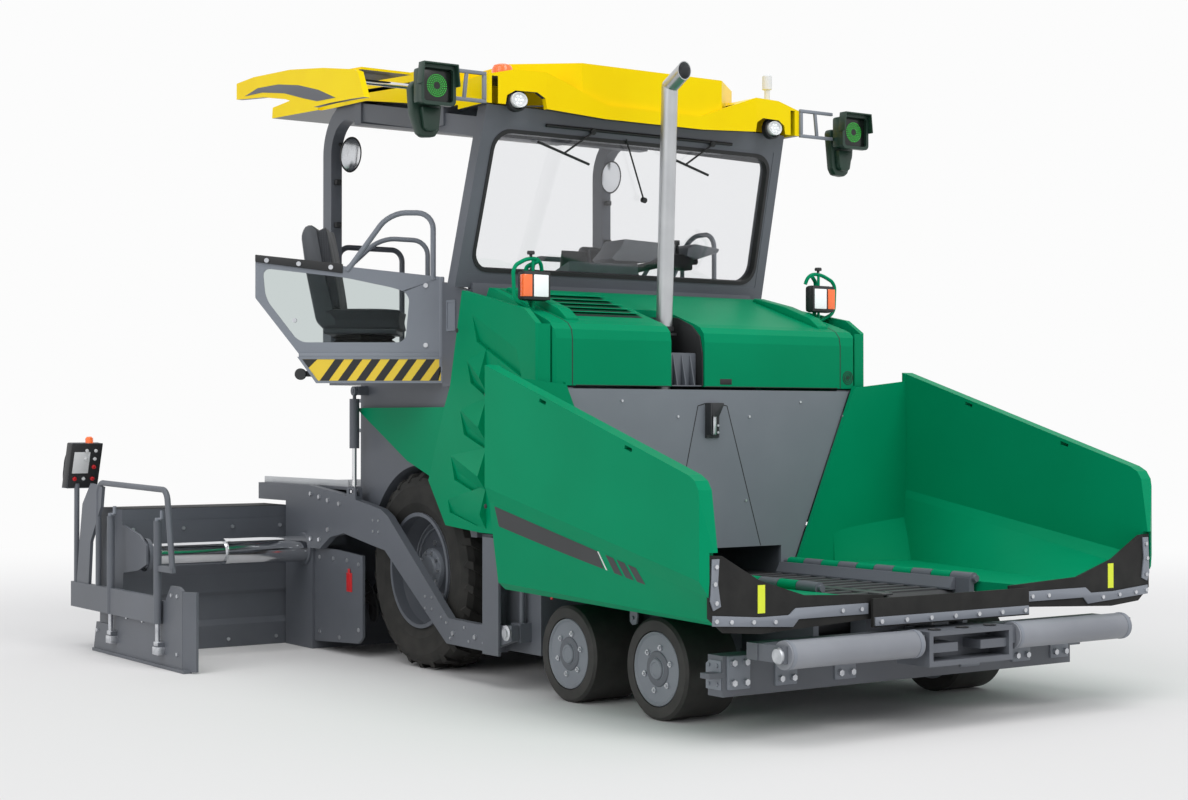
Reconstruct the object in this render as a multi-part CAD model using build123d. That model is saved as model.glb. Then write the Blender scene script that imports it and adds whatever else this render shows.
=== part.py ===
from build123d import *
import os
from math import atan2, cos, degrees, hypot, pi, radians, sin

# Wheeled asphalt paver with an extending screed.
# Millimetres, +X forward (hopper end), +Y to the driver's left, +Z up, ground at Z = 0.
# X is measured from the rear axle while modelling; save() moves every piece so that
# the origin ends up on the ground under the middle of the whole machine.

# ---- driving dimensions ----------------------------------------------------
CLEAR = 5.0                 # air left between pieces that move past each other

# running gear
REAR_R = 685.0              # rear tyre, outside radius
REAR_RIM_R = 392.0          # rear rim, bead seat radius
REAR_W = 380.0              # rear tyre width
REAR_OUT = 1230.0           # rear tyre outer side, from the centre plane
LUG_H = 20.0                # rear tyre lug height
LUG_COUNT = 26
FRONT_R = 297.0             # front wheel radius
FRONT_W = 390.0             # front wheel width
FRONT_OUT = 1290.0          # front wheel outer side, from the centre plane
FRONT_DISC_R = 215.0        # steel disc of a front wheel
BOGIE_X = 2417.5            # middle of each front bogie
BOGIE_BASE = 907.0          # spacing of the two front wheels of a side
KINGPIN_Y = 850.0           # kingpin, from the centre plane
KINGPIN_R = 30.0
STUB_R = 45.0               # stub axle radius

# main frame and tunnel
FRAME_Y = 620.0             # outer face of the frame's side plates
FRAME_T = 40.0
FRAME_REAR = -750.0
FRAME_FRONT = 3480.0
FRAME_BOTTOM = 300.0
TUNNEL_TOP = 950.0
CONVEYOR_Z = 700.0          # top run of the slat conveyors
BEAM_FRONT = 3610.0         # front face of the front cross beam
BEAM_Y = 1387.0
BEAM_Z0 = 225.0
BEAM_Z1 = 450.0
TOW_EYE = (3570.0, 1440.0)   # lashing eyes on the ends of the front beam
TOW_EYE_R = 27.0
TOW_EYE_T = 30.0
CHAIN_REAR = -600.0         # shafts of the slat conveyors
CHAIN_FRONT = 3350.0

# bodywork
BODY_Y = 1250.0             # outer face of the closed bodywork
ARCH_R = REAR_R + 50        # wheel arch radius
ARCH_IN = 812.0             # inner wall of the wheel arch
HOUSING_REAR = -880.0
BULKHEAD_X = 760.0          # wall between platform housing and engine bay
ENGINE_TOP = 1880.0
EXHAUST_X = 1500.0
EXHAUST_R = 55.0
WALL_X = 1760.0             # rear face of the hopper's back wall
WALL_T = 25.0
WALL_TOP = 1936.0
DOOR_T = 40.0
DOOR_Y = 1340.0             # inner face of a door at its hinges
DOOR_PIN = (1735.0, DOOR_Y + 17)
DOOR_SPLAY = 3.2            # the doors spread towards the hopper, degrees
DOOR_HINGES = (1100.0, 1800.0)
DOOR_RIB = 26.0             # depth of the pressed ribs
DOOR_RIBS = (               # upper rear and upper front corner in X, Z, and height
    ((905.0, 2440.0), (1500.0, 2195.0), 190.0),
    ((835.0, 2130.0), (1040.0, 2040.0), 150.0),
    ((735.0, 1805.0), (1040.0, 1710.0), 165.0),
    ((600.0, 1500.0), (1040.0, 1385.0), 165.0),
    ((560.0, 1205.0), (960.0, 1130.0), 90.0),
)
HOOD_FRONT = 1775.0
HOOD_REAR = 860.0
HOOD_BOTTOM = 1955.0
HOOD_TOP = 2620.0
HOOD_Y = 1265.0
HOOD_PIVOT = (845.0, 2590.0)
HOOD_WALL = 40.0
SLOT_REAR = 1340.0          # slot of the hood that the exhaust stands in
SLOT_Y0 = -345.0
SLOT_Y1 = -70.0

# operator's platform
FLOOR_Z = 2060.0            # walking surface
FLOOR_T = 60.0
PLATFORM_REAR = -1380.0
PLATFORM_FRONT = 700.0
PLATFORM_Y = 1205.0

# canopy
POST_X = -1270.0
POST_Y = 1238.0
POST_D = 130.0
POST_W = 90.0
RAIL_REAR_Z = 4085.0        # centre line of the roof rails, at the posts and at the screen
RAIL_FRONT = (900.0, 3680.0)
SCREEN_BASE = (700.0, 2720.0)   # lower glass edge, X and Z
SCREEN_HEAD = (965.0, 3693.0)   # upper glass edge, X and Z
ROOF_FRONT = 1140.0
ROOF_Y = 1345.0
ROOF_CROWN = 4145.0
ROOF_SKIN = 22.0
ROOF_SIDE = 55.0
ROOF_UNDER = [(-2090.0, 4105.0), (-1150.0, 4062.0), (-600.0, 4048.0), (670.0, 3845.0),
              (760.0, 3838.0)]
ROOF_TOP = [(760.0, 4052.0), (700.0, 4062.0), (90.0, 4157.0), (-640.0, 4210.0),
            (-1300.0, 4226.0), (-2080.0, 4188.0)]
WING_OUT = 650.0            # travel of a roof edge
WING_REAR_X = -1290.0
WING_FRONT_X = 670.0
WING_SKIN = ((-1280.0, 4150.0), (560.0, 4040.0))
WING_SKIN_T = 16.0
WING_RODS = ((-900.0, 4103.0), (300.0, 4010.0))
WING_ROD_R = 18.0

# operator's consoles
CONSOLE_PIVOT = (300.0, 1180.0)
CONSOLE_PIN_R = 32.0
CONSOLE_SWING = 55.0
CONSOLE_L = 1270.0

# hopper
HINGE_Y = 620.0
HINGE_Z = 778.0
WING_REAR = 1800.0
WING_RIM_Y = 1790.0
WING_SLOTS = ((2440.0, 1843.0), (3290.0, 1580.0))
APRON_X = 3920.0
APRON_T = 16.0

# push rollers
ROLLER_X = 4060.0
ROLLER_Z = 495.0
ROLLER_R = 77.0
ROLLER_Y0 = 375.0
ROLLER_Y1 = 1340.0
PUSH_PIVOT_X = 3700.0
PUSH_PIN_R = 28.0
PUSH_Z0 = 455.0
PUSH_Z1 = 545.0

# tow points and tow arms
TOW_X = 1330.0
TOW_Z = 370.0
TOW_PIN_R = 25.0
ARM_Y0 = 1272.0             # inner and outer face of the tow arms
ARM_Y1 = 1328.0
LIFT_X = -800.0             # lift cylinders, at rest upright
LIFT_Y = 1300.0
LIFT_TOP = 1950.0
LIFT_EYE = 1215.0
LIFT_BARREL = 420.0
LIFT_R = 36.0
LIFT_ROD_R = 17.0

# screed
SCREED_FRONT = -1500.0
SCREED_REAR = -1960.0
DECK_REAR = -2450.0
DECK_Z0 = 1110.0
DECK_Z1 = 1240.0
SCREED_Y = 1285.0
TUBE_X = -1630.0
TUBE_Z = 755.0
TUBE_R2 = 100.0             # middle stage of the guide tube
TUBE_R3 = 80.0              # inner stage
TUBE_STEP = 1965.0          # outer end of the middle stage, screed extended
EXT_X0 = -1975.0
EXT_Y0 = 1235.0
EXT_Y1 = 2600.0
EXT_TOP = 980.0
GATE_Y = 2730.0
SPINDLES = (-1935.0, -1050.0)
SPINDLE_Y = 2715.0
SPINDLE_R = 16.0
EXT_TRAVEL = 1220.0

# augers
AUGER_X = -1130.0
AUGER_Z = 400.0
AUGER_R = 190.0
AUGER_SHAFT_R = 45.0
AUGER_PITCH = 320.0
AUGER_STEPS = 16
AUGER_T = 14.0
AUGER_Y0 = 46.0
AUGER_Y1 = 1225.0

FRONT_END = ROLLER_X + ROLLER_R
REAR_END = -2760.0           # control boxes of the end gates
CENTRE_X = (FRONT_END + REAR_END) / 2


# ---- small makers ----------------------------------------------------------
def block(x0, x1, y0, y1, z0, z1):
    middle = Vector((x0 + x1) / 2, (y0 + y1) / 2, (z0 + z1) / 2)
    return Pos(middle) * Box(abs(x1 - x0), abs(y1 - y0), abs(z1 - z0))


def prism(points, along):
    face = Face(Wire.make_polygon([Vector(*p) for p in points], close=True))
    return Solid.extrude(face, Vector(*along))


def side_plate(outline, y0, y1):
    # outline in X, Z
    return prism([(x, y0, z) for x, z in outline], (0, y1 - y0, 0))


def cross_plate(outline, x0, x1):
    # outline in Y, Z
    return prism([(x0, y, z) for y, z in outline], (x1 - x0, 0, 0))


def flat_plate(outline, z0, z1):
    # outline in X, Y
    return prism([(x, y, z0) for x, y in outline], (0, 0, z1 - z0))


def rod(start, end, radius):
    a, b = Vector(*start), Vector(*end)
    return Solid.make_cylinder(radius, (b - a).length, Plane(origin=a, z_dir=(b - a)))


def tube(start, end, outer, inner):
    return rod(start, end, outer) - rod(start, end, inner)


def bent_pipe(points, radius, bend):
    path = FilletPolyline(*[Vector(*p) for p in points], radius=bend)
    first = Vector(*points[1]) - Vector(*points[0])
    ring = Plane(origin=points[0], z_dir=first) * Circle(radius)
    return sweep(ring, path=path)


def spun(profile, x, y, z):
    # profile in (offset along Y, radius), turned about the Y axis through x, z
    face = Face(Wire.make_polygon([Vector(0, o, r) for o, r in profile], close=True))
    ring = Solid.revolve(face, 360.0, Axis((0, 0, 0), (0, 1, 0)))
    return Pos(x, y, z) * ring


def other_side(shape):
    return mirror(shape, about=Plane.XZ)


def join(*shapes):
    return Part() + list(shapes)


def save(name, shape):
    moved = Pos(-CENTRE_X, 0, 0) * shape
    moved.label = name
    export_step(moved, f"parts/{name}.step")


def save_pair(name, left):
    save(f"{name}_left", left)
    save(f"{name}_right", other_side(left))


os.makedirs("parts", exist_ok=True)


# ---- running gear ----------------------------------------------------------
def rear_tyre():
    half = REAR_W / 2
    crown = REAR_R - LUG_H
    profile = [
        (-half + 28, REAR_RIM_R), (-half + 28, REAR_RIM_R + 16), (-half, REAR_RIM_R + 80),
        (-half, crown - 75), (-half + 25, crown - 15), (-half + 70, crown), (half - 70, crown),
        (half - 25, crown - 15), (half, crown - 75), (half, REAR_RIM_R + 80),
        (half - 28, REAR_RIM_R + 16), (half - 28, REAR_RIM_R), (half - 60, REAR_RIM_R),
        (half - 40, REAR_RIM_R + 80), (half - 40, crown - 80), (half - 80, crown - 45),
        (-half + 80, crown - 45), (-half + 40, crown - 80), (-half + 40, REAR_RIM_R + 80),
        (-half + 60, REAR_RIM_R),
    ]
    carcass = spun(profile, 0, 0, 0)
    lugs = []
    for i in range(LUG_COUNT):
        for side in (-1, 1):
            turn = 360.0 * (i + 0.25 * side) / LUG_COUNT
            lug = Box(46, half + 4, LUG_H + 40, align=(Align.CENTER, Align.CENTER, Align.MAX))
            lug = Rot(0, 0, side * 28) * lug
            lugs.append(Rot(0, turn, 0) * Pos(0, side * (half / 2 - 4), REAR_R) * lug)
    ring = spun([(-half, REAR_R - 130), (-half, REAR_R - 62), (-half + 45, REAR_R),
                 (half - 45, REAR_R), (half, REAR_R - 62), (half, REAR_R - 130)], 0, 0, 0)
    whole = join(carcass, *[lug & ring for lug in lugs])
    return Pos(0, REAR_OUT - half, REAR_R) * whole


def rear_rim():
    half = REAR_W / 2
    profile = [
        (-half + 10, REAR_RIM_R + 12), (-half + 24, REAR_RIM_R + 12), (-half + 24, REAR_RIM_R),
        (half - 24, REAR_RIM_R), (half - 24, REAR_RIM_R + 12), (half - 10, REAR_RIM_R + 12),
        (half - 10, REAR_RIM_R - 14), (half - 90, REAR_RIM_R - 14), (0, REAR_RIM_R - 45),
        (-25, 170), (60, 150), (60, 0), (-40, 0), (-40, 175), (-70, 175),
        (-70, REAR_RIM_R - 14), (-half + 10, REAR_RIM_R - 14),
    ]
    return spun(profile, 0, REAR_OUT - half, REAR_R)


def front_wheel():
    half = FRONT_W / 2
    profile = [
        (-half, 200), (-half, FRONT_R - 17), (-half + 15, FRONT_R), (half - 15, FRONT_R),
        (half, FRONT_R - 17), (half, FRONT_DISC_R + 7), (half - 17, FRONT_DISC_R),
        (half - 17, 75), (half - 5, 65), (half - 5, 0), (half - 45, 0), (half - 45, STUB_R + 1),
        (half - 95, STUB_R + 1), (half - 95, 200),
    ]
    return spun(profile, 0, FRONT_OUT - half, FRONT_R)


def knuckle():
    boss = rod((0, KINGPIN_Y, 215), (0, KINGPIN_Y, 379), 52)
    pin = rod((0, KINGPIN_Y, 150), (0, KINGPIN_Y, 450), KINGPIN_R)
    stub = rod((0, KINGPIN_Y, FRONT_R), (0, FRONT_OUT - 50, FRONT_R), STUB_R)
    flange = rod((0, 990, FRONT_R), (0, 1020, FRONT_R), 120)
    return join(boss, pin, stub, flange)


def bogie():
    front = BOGIE_X + BOGIE_BASE / 2
    rear = BOGIE_X - BOGIE_BASE / 2
    beam = side_plate([(rear - 60, 385), (rear - 60, 560), (front + 60, 560), (front + 60, 385),
                       (front - 150, 330), (rear + 150, 330)], 700, 780)
    lugs = [flat_plate([(x - 45, 770), (x - 45, KINGPIN_Y), (x + 45, KINGPIN_Y), (x + 45, 770)],
                       z, z + 45) + rod((x, KINGPIN_Y, z), (x, KINGPIN_Y, z + 45), 45)
            for x in (rear, front) for z in (150, 400)]
    drops = [block(x - 45, x + 45, 700, 780, 150, 400) for x in (rear, front)]
    pivot = rod((BOGIE_X, FRAME_Y, 450), (BOGIE_X, 700, 450), 80)
    whole = join(beam, pivot, *lugs, *drops)
    for x in (rear, front):
        whole -= rod((x, KINGPIN_Y, 140), (x, KINGPIN_Y, 460), KINGPIN_R + 0.5)
    return whole


def rear_axle():
    return join(rod((0, FRAME_Y, REAR_R), (0, 800, REAR_R), 190),
                rod((0, 800, REAR_R), (0, REAR_OUT - REAR_W / 2 - 41, REAR_R), 150))


# ---- frame, tunnel, engine -------------------------------------------------
def main_frame():
    outline = [(FRAME_REAR, 420), (FRAME_REAR, TUNNEL_TOP), (WALL_X, TUNNEL_TOP), (WALL_X, 690),
               (FRAME_FRONT, 690), (FRAME_FRONT, FRAME_BOTTOM), (FRAME_REAR + 200, FRAME_BOTTOM)]
    plate = side_plate(outline, FRAME_Y - FRAME_T, FRAME_Y)
    roof = block(FRAME_REAR, WALL_X, -FRAME_Y + FRAME_T, FRAME_Y - FRAME_T, TUNNEL_TOP - 20,
                 TUNNEL_TOP)
    floor = block(FRAME_REAR + 250, FRAME_FRONT, -FRAME_Y + FRAME_T, FRAME_Y - FRAME_T,
                  FRAME_BOTTOM, FRAME_BOTTOM + 20)
    beam = block(FRAME_FRONT, BEAM_FRONT, -BEAM_Y, BEAM_Y, BEAM_Z0, BEAM_Z1)
    nose = block(FRAME_FRONT - 5, BEAM_FRONT, -330, 330, BEAM_Z1 - 10, 690)
    lugs = [block(BEAM_FRONT - 5, PUSH_PIVOT_X, -80, 80, z, z + 25)
            + rod((PUSH_PIVOT_X, 0, z), (PUSH_PIVOT_X, 0, z + 25), 80)
            - rod((PUSH_PIVOT_X, 0, z), (PUSH_PIVOT_X, 0, z + 25), PUSH_PIN_R + 0.5)
            for z in (PUSH_Z0 - 30, PUSH_Z1 + 5)]
    lip = block(FRAME_FRONT - 5, APRON_X + 40, -480, 480, 672, 690)
    eyes = [block(TOW_EYE[0] - 40, TOW_EYE[0] + 40, side * (BEAM_Y - 5), side * (TOW_EYE[1] + 40),
                  330, 330 + TOW_EYE_T)
            - rod((TOW_EYE[0], side * TOW_EYE[1], 320), (TOW_EYE[0], side * TOW_EYE[1], 370),
                  TOW_EYE_R) for side in (-1, 1)]
    chute = cross_plate([(FRAME_Y - FRAME_T + 1, 705), (FRAME_Y - FRAME_T + 1, HINGE_Z),
                         (566, HINGE_Z), (530, 716), (530, 705)], WALL_X + 30, 3420)
    case = block(-1200, FRAME_REAR + 10, -45, 45, 230, 930)
    box = block(1080, 1500, FRAME_Y - 5, 1180, 230, 940)
    guides = guide_rails()
    return join(plate, other_side(plate), roof, floor, beam, nose, lip, case, *lugs, *eyes,
                box, other_side(box), chute, other_side(chute), guides, other_side(guides))


def guide_rails():
    outer = block(1065, 1260, ARM_Y1 + 6, ARM_Y1 + 24, 215, 975)
    back = block(1065, 1085, 1170, ARM_Y1 + 24, 215, 975)
    back -= block(1060, 1090, ARM_Y0 - 6, ARM_Y1 + 6, 210, 700)
    cap = block(1065, 1500, 1170, ARM_Y1 + 24, 950, 975)
    pad = block(TOW_X - 50, TOW_X + 60, 1180, ARM_Y0 - 6, TOW_Z - 60, TOW_Z + 60)
    pin = rod((TOW_X, 1200, TOW_Z), (TOW_X, ARM_Y1 + 8, TOW_Z), TOW_PIN_R)
    piston = rod((TOW_X + 10, 1222, TOW_Z + 40), (TOW_X + 10, 1222, 960), 18)
    return join(outer, back, cap, pad, pin, piston)


def conveyor():
    inside = FRAME_Y - FRAME_T
    run = block(CHAIN_REAR, CHAIN_FRONT, -inside, inside, CONVEYOR_Z - 25, CONVEYOR_Z)
    back = block(CHAIN_REAR, CHAIN_FRONT, -inside, inside, 480, 500)
    ends = [rod((x, -inside, 590), (x, inside, 590), 110) for x in (CHAIN_REAR, CHAIN_FRONT)]
    return join(run, back, *ends)


def back_wall():
    outline = [(-1198, WALL_TOP), (1198, WALL_TOP), (700, 793), (FRAME_Y - 5, 700),
               (FRAME_Y - FRAME_T, 700), (FRAME_Y - FRAME_T, 890), (FRAME_T - FRAME_Y, 890),
               (FRAME_T - FRAME_Y, 700), (5 - FRAME_Y, 700), (-700, 793)]
    return cross_plate(outline, WALL_X, WALL_X + WALL_T)


def engine():
    return block(900, 1640, -720, 720, TUNNEL_TOP + 25, ENGINE_TOP)


def rear_housing():
    body = block(HOUSING_REAR, BULKHEAD_X, -PLATFORM_Y, PLATFORM_Y, TUNNEL_TOP,
                 FLOOR_Z - FLOOR_T)
    for side in (-1, 1):
        body -= rod((0, side * ARCH_IN, REAR_R), (0, side * (BODY_Y + 10), REAR_R), ARCH_R)
    floor = block(BULKHEAD_X - 5, WALL_X, -1165, 1165, TUNNEL_TOP, TUNNEL_TOP + 25)
    extras = []
    for side in (-1, 1):
        extras.append(block(1690, 1758, side * 1110, side * 1235, TUNNEL_TOP, 1945))
        extras.append(block(LIFT_X - 40, LIFT_X + 40, side * 1200, side * (LIFT_Y - 16),
                            LIFT_TOP - 30, LIFT_TOP + 35))
        extras.append(rod((LIFT_X, side * (LIFT_Y - 20), LIFT_TOP),
                          (LIFT_X, side * (LIFT_Y + 18), LIFT_TOP), 15))
        for z in DOOR_HINGES:
            extras.append(block(1715, 1755, side * 1230, side * (DOOR_PIN[1] + 14), z, z + 40))
            extras.append(rod((DOOR_PIN[0], side * DOOR_PIN[1], z - 60),
                              (DOOR_PIN[0], side * DOOR_PIN[1], z + 100), 10))
    return join(body, floor, *extras)


def fender():
    outline = [(-860, 1825), (500, 1825), (240, 1343), (-100, 1450)]
    return side_plate(outline, PLATFORM_Y, BODY_Y + 5)


# ---- bodywork that opens ---------------------------------------------------
def side_door():
    # turned about its hinges, so that it spreads towards the hopper
    outline = [(760, 2600), (590, 1966), (510, 1831), (270, 1323), (525, 1027), (1020, 1000),
               (1750, 1000), (1750, 2340), (1600, 2440)]
    skin = side_plate(outline, DOOR_Y, DOOR_Y + DOOR_T)
    skin -= side_plate([(700, 2530), (560, 1930), (320, 1330), (540, 1080), (1700, 1050),
                        (1700, 2310), (1560, 2390)], DOOR_Y - 1, DOOR_Y + 10)
    skin += block(1738, 1750, BODY_Y + 28, DOOR_Y + DOOR_T, HOOD_BOTTOM + 10, 2340)
    face = DOOR_Y + DOOR_T + 1
    for (xa, za), (xb, zb), height in DOOR_RIBS:
        foot = (xa + height / 3, za - height)
        skin -= prism([(xa, face, za), (foot[0], face, foot[1]), (foot[0], face - DOOR_RIB, foot[1])],
                      (xb - xa, 0, zb - za))
    skin -= flat_plate([(1751, face), (1737, face), (1751, face - 14)], 990, 2700)
    for z in DOOR_HINGES:
        skin += block(1650, 1750, DOOR_Y, DOOR_Y + DOOR_T, z - 70, z + 110)
    pin = Pos(DOOR_PIN[0], DOOR_PIN[1], 0)
    door = pin * Rot(0, 0, DOOR_SPLAY) * Pos(-DOOR_PIN[0], -DOOR_PIN[1], 0) * skin
    for z in DOOR_HINGES:
        door -= block(1700, 1770, BODY_Y - 20, DOOR_Y + 100, z - CLEAR, z + 40 + CLEAR)
        door -= rod((DOOR_PIN[0], DOOR_PIN[1], z - 65), (DOOR_PIN[0], DOOR_PIN[1], z + 105), 10.5)
    return door


def hood():
    outer = [(HOOD_FRONT, HOOD_BOTTOM), (HOOD_FRONT, 2250), (HOOD_FRONT - 12, 2310),
             (HOOD_FRONT - 50, 2350), (HOOD_FRONT - 110, 2375), (HOOD_REAR + 60, HOOD_TOP - 10),
             (HOOD_REAR, HOOD_TOP), (HOOD_REAR, HOOD_BOTTOM)]
    shell = side_plate(outer, -HOOD_Y, HOOD_Y)
    front_view = [(-HOOD_Y, HOOD_BOTTOM), (HOOD_Y, HOOD_BOTTOM), (HOOD_Y, 2330), (HOOD_Y - 20, 2420),
                  (HOOD_Y - 90, HOOD_TOP), (90 - HOOD_Y, HOOD_TOP), (20 - HOOD_Y, 2420),
                  (-HOOD_Y, 2330)]
    shell &= cross_plate(front_view, HOOD_REAR - 10, HOOD_FRONT + 10)
    plan = [(HOOD_REAR - 10, -HOOD_Y), (HOOD_FRONT - 20, -HOOD_Y), (HOOD_FRONT, -HOOD_Y + 20),
            (HOOD_FRONT, HOOD_Y - 20), (HOOD_FRONT - 20, HOOD_Y), (HOOD_REAR - 10, HOOD_Y)]
    shell &= flat_plate(plan, HOOD_BOTTOM - 10, HOOD_TOP + 10)
    wall = HOOD_WALL
    inner = [(HOOD_FRONT - wall, HOOD_BOTTOM - 1), (HOOD_FRONT - wall, 2240),
             (HOOD_FRONT - 130, 2375 - wall), (HOOD_REAR - 1, HOOD_TOP - wall),
             (HOOD_REAR - 1, HOOD_BOTTOM - 1)]
    hollow = side_plate(inner, wall + 50 - HOOD_Y, HOOD_Y - 50 - wall)
    shell -= hollow
    shell -= block(SLOT_REAR, HOOD_FRONT + 5, SLOT_Y0, SLOT_Y1, HOOD_BOTTOM - 5, HOOD_TOP + 5)
    lamps = []
    for side in (-1, 1):
        lamps.append(bent_pipe([(1430, side * 1180, 2420), (1400, side * 1230, 2560),
                                (1400, side * 1230, 2720), (1440, side * 1160, 2760)], 14, 30))
        lamps.append(block(1440, 1495, side * 1170, side * 1290, 2540, 2650))
        lamps.append(rod((1400, side * 1230, 2600), (1450, side * 1230, 2600), 12))
    return join(shell, *lamps)


def exhaust():
    y = (SLOT_Y0 + SLOT_Y1) / 2
    foot = Vector(EXHAUST_X, y, ENGINE_TOP)
    knee = Vector(EXHAUST_X, y, HOOD_BOTTOM + 50)
    sleeve = Vector(EXHAUST_X + 12, y, 2330)
    bend = Vector(EXHAUST_X + 77, y, 3955)
    tip = bend + Vector(210, 0, 111)
    stack = join(rod(foot, knee, 50), rod(knee, bend, 46), rod(sleeve, bend, EXHAUST_R),
                 rod(bend, tip, EXHAUST_R), Pos(bend) * Sphere(EXHAUST_R))
    stack -= rod(bend, tip, EXHAUST_R - 5)
    return stack - block(bend.X + 161, bend.X + 400, y - 200, y + 200, 3800, 4400)


# ---- platform and canopy ---------------------------------------------------
def platform():
    floor = block(PLATFORM_REAR, PLATFORM_FRONT, -PLATFORM_Y, PLATFORM_Y, FLOOR_Z - FLOOR_T,
                  FLOOR_Z)
    for side in (-1, 1):
        floor -= rod((CONSOLE_PIVOT[0], side * CONSOLE_PIVOT[1], FLOOR_Z - FLOOR_T),
                     (CONSOLE_PIVOT[0], side * CONSOLE_PIVOT[1], FLOOR_Z), CONSOLE_PIN_R + 0.5)
    dash = block(PLATFORM_FRONT - 60, PLATFORM_FRONT, -PLATFORM_Y, PLATFORM_Y, FLOOR_Z, 2660)
    dash -= screen_board()
    hinges = [block(PLATFORM_FRONT - 10, HOOD_PIVOT[0], y - 25, y + 25, 2560, 2590)
              + rod((HOOD_PIVOT[0], y - 25, HOOD_PIVOT[1]), (HOOD_PIVOT[0], y + 25, HOOD_PIVOT[1]), 15)
              for y in (-700, 700)]
    dash = join(dash, *hinges)
    corner = side_plate([(385, 2680), (690, 2612), (560, 1966), (385, 1966)], PLATFORM_Y,
                        BODY_Y + 5)
    rail = bent_pipe([(-1340, 600, FLOOR_Z), (-1340, 600, 3050), (-1340, 1150, 3050),
                      (-1340, 1150, FLOOR_Z)], 21, 90)
    return join(floor, dash, corner, other_side(corner), rail, other_side(rail))


def screen_plane():
    rise = Vector(SCREEN_HEAD[0] - SCREEN_BASE[0], 0, SCREEN_HEAD[1] - SCREEN_BASE[1])
    length = rise.length
    normal = Vector(rise.Z, 0, -rise.X) / length
    place = Plane(origin=(SCREEN_BASE[0], 0, SCREEN_BASE[1]), x_dir=(0, 1, 0), z_dir=normal)
    return place, length


def local_prism(place, outline, depth0, depth1):
    corners = [place.from_local_coords(Vector(a, b, depth0)) for a, b in outline]
    face = Face(Wire.make_polygon(corners, close=True))
    return Solid.extrude(face, place.z_dir * (depth1 - depth0))


def screen_board():
    place, length = screen_plane()
    outer = [(-1330, -95), (1330, -95), (1280, length + 130), (-1280, length + 130)]
    return local_prism(place, outer, -100, 0)


def canopy_frame():
    place, length = screen_plane()
    inner = [(-1250, 0), (1250, 0), (1211, length), (-1211, length)]
    screen = screen_board() - local_prism(place, inner, -110, 10)
    sides = []
    for side in (-1, 1):
        y = side * POST_Y
        path = FilletPolyline((POST_X, y, FLOOR_Z), (POST_X, y, RAIL_REAR_Z),
                              (RAIL_FRONT[0], y, RAIL_FRONT[1]), radius=300)
        ring = Plane(origin=(POST_X, y, FLOOR_Z), z_dir=(0, 0, 1)) * Rectangle(POST_D, POST_W)
        sides.append(sweep(ring, path=path))
    for x, z in ((-760, 3900), (420, 3740)):
        sides.append(block(x - 50, x + 50, -POST_Y, POST_Y, z, z + 290))
        for side in (-1, 1):
            sides.append(block(x - 50, x + 50, side * (POST_Y - 60), side * (POST_Y + 60), z, z + 290))
    return join(screen, *sides) - roof_block()


def roof_block():
    return side_plate(ROOF_UNDER + ROOF_TOP, -ROOF_Y, ROOF_Y)


def windscreen():
    place, length = screen_plane()
    outline = [(-1249, 1), (1249, 1), (1210, length - 1), (-1210, length - 1)]
    return local_prism(place, outline, -40, -28)


def roof():
    shell = roof_block()
    rear, front = ROOF_UNDER[0][0] + 2 * ROOF_SKIN, ROOF_TOP[0][0] - 2 * ROOF_SKIN
    inside = [(max(x, rear), z + ROOF_SKIN) for x, z in ROOF_UNDER[:-1]]
    inside += [(min(max(x, rear), front), z - ROOF_SKIN) for x, z in ROOF_TOP[1:]]
    hollow = side_plate(inside, ROOF_SIDE - ROOF_Y, ROOF_Y - ROOF_SIDE)
    brow = [(-1345, 3810), (-1200, 3810), (-1190, 3870), (-1130, 3905), (-970, 3905), (-910, 3870),
            (-895, 3800), (-420, 3775)]
    edge = [(-1345, 3995), (-1130, 4045), (-900, 4045), (-400, 3870)]
    front_view = brow + [(-y, z) for y, z in reversed(brow)] + [(-y, z) for y, z in edge]
    front_view += list(reversed(edge))
    band = cross_plate(front_view, 740, ROOF_FRONT)
    plan = [(700, -1345), (1090, -1345), (ROOF_FRONT, -900), (ROOF_FRONT, 900), (1090, 1345),
            (700, 1345)]
    band &= flat_plate(plan, 3700, 4200)
    band -= block(600, ROOF_FRONT - 40, -1300, 1300, 3700, 3990)
    crown = flat_plate([(-1900, -1000), (780, -965), (1120, -600), (1120, 600), (780, 965),
                        (-1900, 1000)], 3860, ROOF_CROWN)
    crown &= side_plate([(-1900, 4180), (-1800, 4255), (-640, 4235), (780, ROOF_CROWN),
                         (1120, ROOF_CROWN - 5), (1120, 3860), (700, 3860), (600, 4000)], -1100, 1100)
    crown -= flat_plate([(-1900, -930), (740, -900), (1080, -560), (1080, 560), (740, 900),
                         (-1900, 930)], 3850, 4100)
    whole = join(shell, band, crown) - hollow
    for way in (-1, 1):
        whole -= block(WING_REAR_X - 10, WING_FRONT_X + 10, way * (ROOF_Y - 30), way * (ROOF_Y + 10),
                       3700, 4300)
        whole -= Pos(0, way * (ROOF_Y - 45), 0) * side_plate(wing_skin(CLEAR), -50, 50)
        for x, z in WING_RODS:
            whole -= rod((x, way * (ROOF_Y - 95), z), (x, way * (ROOF_Y + 10), z), WING_ROD_R + 0.5)
    return whole


def wing_skin(gap):
    (xa, za), (xb, zb) = WING_SKIN
    return [(xa - gap, za - gap), (xb + gap, zb - gap), (xb + gap, zb + WING_SKIN_T + gap),
            (xa - gap, za + WING_SKIN_T + gap)]


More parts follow.
